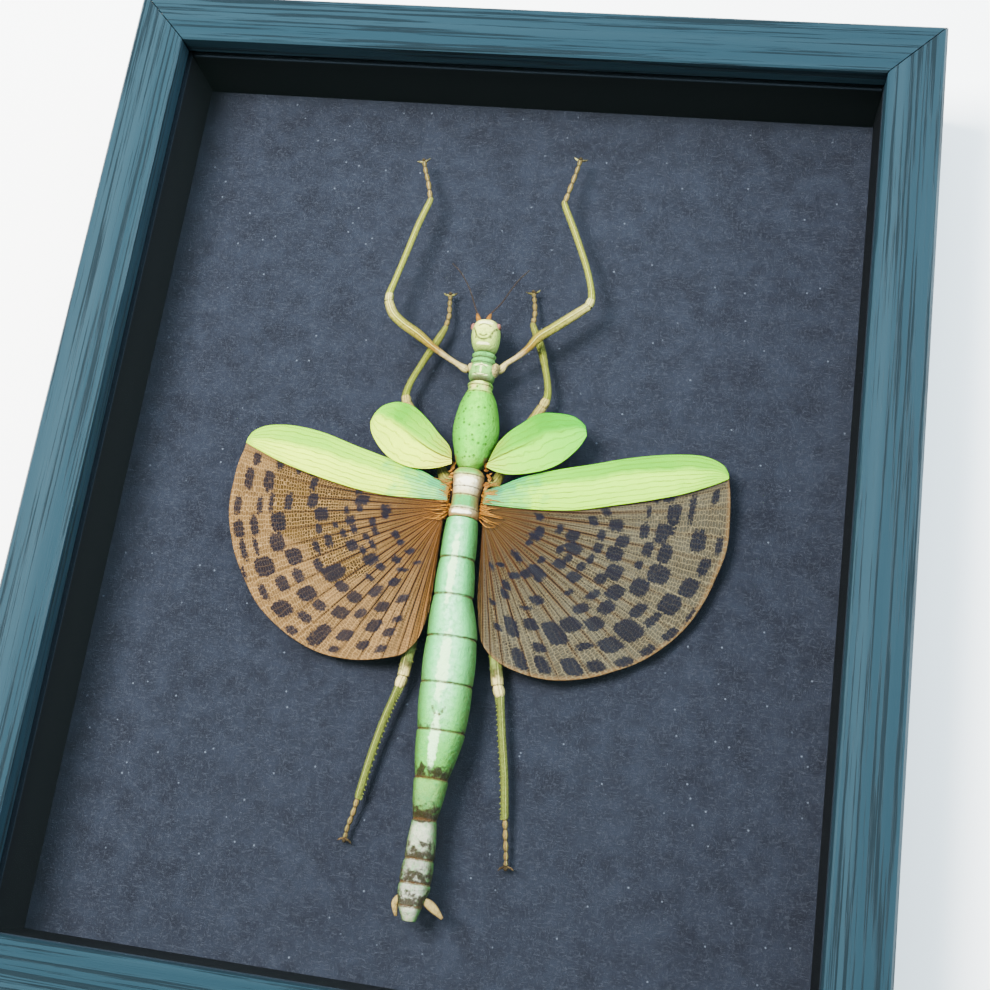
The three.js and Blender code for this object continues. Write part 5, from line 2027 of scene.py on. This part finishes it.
def legs() -> list[Leg]:
    """Lists the six legs. Points run from the body outwards: x, y and the height above the board.

    Returns:
        The legs, front to rear.
    """
    return [
        Leg(
            "front_leg_left", LegKind.FRONT,
            coxa=((-4.4, 37.2, 8), (-5.6, 37.7, 8)),
            femur=((-7.4, 38.6, 8.2), (-10.6, 40.2, 8.6), (-15, 42.7, 9.2), (-19.8, 45.9, 9.8),
                   (-24.7, 48.8, 10), (-27.9, 51.6, 10), (-29.7, 55.2, 10)),
            tibia=(
                (-29.8, 57.6, 10), (-28.9, 62, 9.8), (-27.3, 69.8, 9.4), (-25.2, 80, 9), (-23.3, 87.6, 8.4)
            ),
            tarsus=((-23.3, 88.9, 8.3), (-24.7, 93.8, 7.6), (-26.4, 98.2, 6.8), (-27.5, 101.6, 6.2)),
        ),
        Leg(
            "front_leg_right", LegKind.FRONT,
            coxa=((3.8, 37.2, 8), (4.7, 38.4, 8)),
            femur=((5.9, 40, 8.4), (8.7, 42, 9), (11.6, 44.7, 9.6), (14.1, 47.9, 10), (17.5, 50.7, 10),
                   (22, 54.4, 10), (26.5, 58.2, 10)),
            tibia=((27.1, 60.4, 10), (26.3, 64.6, 9.8), (24.2, 70.8, 9.4), (20, 80.5, 9), (16, 89.1, 8.4)),
            tarsus=((15.8, 90.6, 8.3), (16.7, 95.8, 7.6), (17.7, 101.3, 6.8), (18.2, 105, 6.2)),
        ),
        Leg(
            "middle_leg_left", LegKind.MIDDLE,
            coxa=((-4.3, 6.3, 6), (-6.4, 6.4, 5.6)),
            femur=((-8.6, 9.6, 5.5), (-13.8, 17.6, 5.5), (-20.6, 26.6, 5.8)),
            tibia=(
                (-21.3, 28.9, 5.8), (-20.6, 33, 5.8), (-18.2, 39.4, 5.4), (-15.5, 45.6, 5), (-13.8, 50, 4.6)
            ),
            tarsus=((-13.5, 51.4, 4.5), (-13.2, 54.8, 4), (-13.7, 58.5, 3.4), (-14, 61.3, 3)),
        ),
        Leg(
            "middle_leg_right", LegKind.MIDDLE,
            coxa=((4.9, 6.3, 6), (7, 6.4, 5.6)),
            femur=((8.6, 9.8, 5.5), (11.8, 18.6, 5.5), (17.1, 29.2, 5.8)),
            tibia=((18, 31.6, 5.8), (17.9, 35, 5.8), (16.5, 40.4, 5.4), (14.2, 47.1, 5), (11.4, 53, 4.6)),
            tarsus=((11.1, 54.4, 4.5), (11.1, 57.6, 4), (10.4, 61.5, 3.4), (9.8, 63.9, 3)),
        ),
        Leg(
            "hind_leg_left", LegKind.HIND,
            coxa=((-3.9, -0.4, 5.2), (-5.8, -1.4, 4.8)),
            femur=((-6.7, -5, 4.4), (-8.1, -24.2, 4), (-9.7, -48.2, 4.6)),
            tibia=(
                (-10.4, -50.9, 4.6), (-11.3, -54, 4.6), (-13.1, -60.6, 4.4), (-15, -69.8, 4),
                (-16.5, -79.2, 3.6),
            ),
            tarsus=((-16.8, -80.8, 3.5), (-17.4, -84.4, 3.2), (-18.3, -88, 2.8), (-18.6, -90.8, 2.6)),
        ),
        Leg(
            "hind_leg_right", LegKind.HIND,
            coxa=((4.7, -0.4, 5.2), (6.2, -1.4, 4.8)),
            femur=((6.6, -5, 4.4), (10.4, -24.2, 4), (15.4, -47.6, 4.6)),
            tibia=(
                (16.4, -50.1, 4.6), (17, -53, 4.6), (18.4, -60.6, 4.4), (20.2, -69.8, 4), (21.6, -79.2, 3.6)
            ),
            tarsus=((21.9, -80.8, 3.5), (22.5, -84.8, 3.2), (23.2, -89.1, 2.8), (23.5, -91.9, 2.6)),
        ),
    ]


LEFT_SPOTS = (
    (.12, .385, .05, .06), (.168, .39, .04, .025), (.05, .42, .08, .03), (.08, .62, .045, .025),
    (.025, .64, .05, .03), (.03, .70, .06, .02), (.033, .785, .06, .03), (.227, .437, .045, .04),
    (.28, .43, .05, .025), (.173, .45, .035, .02), (.335, .39, .04, .025), (.387, .38, .055, .022),
    (.26, .34, .055, .03), (.32, .34, .05, .025), (.397, .432, .04, .028), (.455, .43, .05, .065),
    (.353, .468, .048, .045), (.29, .483, .04, .022), (.24, .51, .025, .022), (.187, .565, .05, .06),
    (.245, .588, .037, .022), (.303, .558, .045, .033), (.315, .623, .045, .025), (.135, .61, .047, .045),
    (.143, .722, .048, .036), (.203, .77, .053, .066), (.267, .793, .058, .065), (.322, .74, .045, .07),
    (.377, .652, .045, .035), (.423, .61, .05, .1), (.48, .633, .045, .05), (.38, .76, .042, .045),
    (.437, .778, .04, .08), (.483, .78, .035, .05), (.097, .825, .035, .045), (.143, .803, .045, .02),
    (.153, .856, .04, .025), (.055, .90, .035, .04), (.10, .922, .03, .042), (.208, .885, .05, .035),
    (.267, .895, .05, .02), (.325, .888, .045, .085), (.383, .845, .043, .05), (.437, .92, .038, .08),
    (.383, .945, .038, .03), (.152, .96, .04, .033), (.212, .96, .042, .045), (.27, .956, .05, .025),
    (.485, .875, .035, .045), (.49, .97, .025, .04), (.327, .99, .025, .015), (.15, .275, .025, .035),
    (.19, .27, .04, .04), (.225, .275, .05, .03), (.40, .262, .06, .03), (.47, .268, .05, .03),
    (.58, .28, .06, .035), (.545, .353, .055, .035), (.695, .34, .05, .02), (.625, .395, .06, .025),
    (.515, .43, .04, .035), (.633, .48, .055, .05), (.52, .51, .04, .025), (.583, .56, .045, .07),
    (.72, .585, .045, .055), (.535, .64, .04, .06), (.653, .645, .045, .065), (.595, .71, .038, .06),
    (.54, .75, .042, .065), (.667, .77, .042, .08), (.74, .73, .035, .04), (.603, .86, .042, .075),
    (.73, .82, .035, .055), (.67, .902, .03, .055), (.543, .91, .035, .13), (.603, .955, .028, .04),
    (.73, .93, .03, .05),
)
RIGHT_SPOTS = (
    (.08, .52, .03, .03), (.123, .55, .035, .055), (.115, .458, .035, .035), (.20, .39, .05, .05),
    (.257, .415, .05, .07), (.295, .37, .04, .03), (.31, .42, .04, .03), (.363, .41, .055, .05),
    (.167, .50, .04, .03), (.22, .505, .04, .035), (.275, .502, .04, .025), (.318, .487, .04, .03),
    (.377, .497, .05, .05), (.173, .59, .04, .05), (.223, .58, .05, .065), (.283, .615, .05, .065),
    (.323, .585, .035, .045), (.34, .672, .05, .065), (.393, .617, .05, .035), (.447, .542, .035, .02),
    (.46, .64, .05, .045), (.13, .664, .04, .035), (.083, .675, .025, .015), (.18, .70, .04, .04),
    (.23, .69, .025, .03), (.12, .745, .02, .07), (.143, .735, .03, .05), (.182, .77, .045, .05),
    (.238, .78, .05, .085), (.292, .74, .047, .07), (.35, .80, .05, .045), (.40, .70, .055, .055),
    (.413, .845, .06, .11), (.467, .737, .05, .07), (.478, .865, .05, .08), (.09, .77, .037, .05),
    (.027, .745, .06, .04), (.138, .883, .045, .055), (.19, .937, .037, .04), (.14, .967, .033, .025),
    (.245, .917, .045, .065), (.298, .886, .047, .08), (.352, .875, .048, .033), (.358, .972, .037, .035),
    (.30, .983, .03, .015), (.423, .97, .035, .035), (.483, .97, .035, .045), (.075, .835, .05, .02),
    (.02, .54, .04, .03), (.025, .61, .04, .02), (.03, .70, .05, .015), (.04, .385, .05, .02),
    (.04, .45, .04, .02), (.06, .925, .03, .03), (.123, .24, .05, .03), (.235, .255, .07, .04),
    (.285, .25, .05, .05), (.36, .245, .06, .02), (.407, .342, .05, .025), (.485, .38, .06, .08),
    (.18, .33, .05, .025), (.515, .27, .04, .06), (.54, .37, .05, .04), (.60, .368, .055, .035),
    (.507, .417, .03, .035), (.567, .525, .04, .055), (.62, .565, .03, .02), (.653, .30, .05, .025),
    (.663, .43, .035, .06), (.683, .49, .035, .06), (.727, .33, .03, .04), (.755, .585, .03, .03),
    (.523, .70, .05, .08), (.577, .725, .048, .13), (.628, .665, .04, .07), (.693, .70, .04, .12),
    (.745, .745, .03, .04), (.633, .805, .03, .055), (.532, .83, .035, .035), (.583, .925, .035, .1),
    (.643, .91, .03, .1), (.695, .905, .03, .13), (.538, .945, .03, .06),
)


def wings() -> list[Tegmen | HindWing]:
    """Lists the wings. Edges and margins are rows of x and y.

    Returns:
        The fore wings, then the hind wings.
    """
    return [
        Tegmen(
            "tegmen_left",
            front=((-5, 12.4), (-6.4, 14.6), (-9.4, 17.4), (-13, 21), (-17.5, 24.5), (-22, 25.5), (-26, 24.2),
                   (-28.2, 21.8)),
            rear=(
                (-4.4, 9.2), (-7.4, 8), (-11.2, 7.2), (-16, 7.3), (-21, 8.9), (-25, 12), (-28, 16),
                (-29, 19.2)
            ),
            finish=LEFT_TEGMEN_LIT,
        ),
        Tegmen(
            "tegmen_right",
            front=((5.8, 12.4), (7.4, 16.4), (9.9, 19.8), (12.8, 22.4), (16.5, 25.5), (21, 26.4), (26.4, 26),
                   (29.8, 23.8)),
            rear=(
                (5, 9.2), (7.8, 8.2), (11.4, 7.9), (16, 8.7), (21, 10.4), (25, 13), (28.6, 17.2), (30.5, 21)
            ),
            finish=RIGHT_TEGMEN_SHADED,
        ),
        HindWing(
            "left",
            front=((-4.4, 3), (-8, 4.8), (-14, 7.3), (-23, 9.7), (-32, 12.2), (-42, 15.2), (-51, 16.5),
                   (-58, 16), (-62, 14.2), (-63.7, 11.9)),
            rear=((-4.4, -0.7), (-8, -0.7), (-14, -0.8), (-21, -0.8), (-29, 0), (-37, 1.6), (-45, 3.6),
                  (-53, 6), (-60, 8.8), (-63.9, 10.5)),
            margin=((-64.6, 9), (-65.8, 3.6), (-66.3, -3), (-65.6, -10), (-63.8, -16.5), (-61, -22.4),
                    (-57, -28.8), (-52, -34.6), (-45.6, -39.4), (-38.6, -43), (-32, -45), (-26, -45.6),
                    (-19.6, -45.2), (-13.8, -44), (-9.4, -42), (-6.4, -37), (-5.2, -31), (-4.9, -24)),
            hinge=((-4.4, -1.9), (-4.9, -5.4)),
            spots=LEFT_SPOTS,
            overlap=((0.0, 0.8), (0.23, 0.8), (0.245, 0.76), (0.29, 0.7), (0.3, 0.66), (0.45, 0.66),
                     (0.5, 0.5), (0.56, 0.0), (1.0, 0.0)),
            strip_finish=LEFT_STRIP_LIT,
            fan_finish=LEFT_FAN_LIT,
        ),
        HindWing(
            "right",
            front=((5.2, 3), (9, 4.6), (15, 7.9), (24, 11), (33, 13.5), (43, 16.4), (53, 18.4), (61.5, 19),
                   (66.8, 17.4), (68.8, 15)),
            rear=((5.2, -0.7), (9, -0.7), (15, -0.7), (22, -0.4), (30, 0.5), (39, 2.7), (48, 5.1), (57, 7.9),
                  (65, 11.4), (69, 13.6)),
            margin=((69.4, 12.6), (70.4, 7), (70.6, 0), (70, -6.6), (68, -13.4), (65.8, -19.4), (62.6, -25.4),
                    (58.6, -30.4), (54.4, -34.4), (49.4, -37.8), (43.4, -40.8), (36.6, -43.2), (29.8, -44.5),
                    (23, -44.1), (17, -42.7), (12.8, -40.4), (9.9, -37), (8.7, -33), (7.7, -28), (7, -22)),
            hinge=((5.2, -1.9), (6, -5.4)),
            spots=RIGHT_SPOTS,
            overlap=((0.0, 0.0), (1.0, 0.0)),
            strip_finish=RIGHT_STRIP_SHADED,
            fan_finish=RIGHT_FAN_SHADED,
        ),
    ]


def antennae() -> list[Antenna]:
    """Lists the two antennae. Points run outwards: x, y and the height above the board.

    Returns:
        The antennae.
    """
    return [
        Antenna("antenna_left", ((-4.3, 54.1, 9.4), (-5.6, 57, 9.8), (-7.4, 61, 10), (-10.4, 65.4, 10),
                                 (-13.3, 68.2, 10))),
        Antenna("antenna_right", ((-0.2, 54.3, 9.4), (2.2, 57.2, 9.8), (4.2, 61, 10), (6.2, 64.6, 10),
                                  (8.8, 67.8, 10))),
    ]


def main() -> None:
    """Builds the scene."""
    logging.basicConfig(level=logging.INFO, format="%(message)s")
    Studio().build()
    BoxFrame().build()
    hinges = (WingHinge("left", -1.0, -3.9, seed=11), WingHinge("right", 1.0, 4.7, seed=12))
    for piece in (*body_pieces(), *hinges, *legs(), *antennae(), *wings()):
        piece.build()


if __name__ == "__main__":
    main()
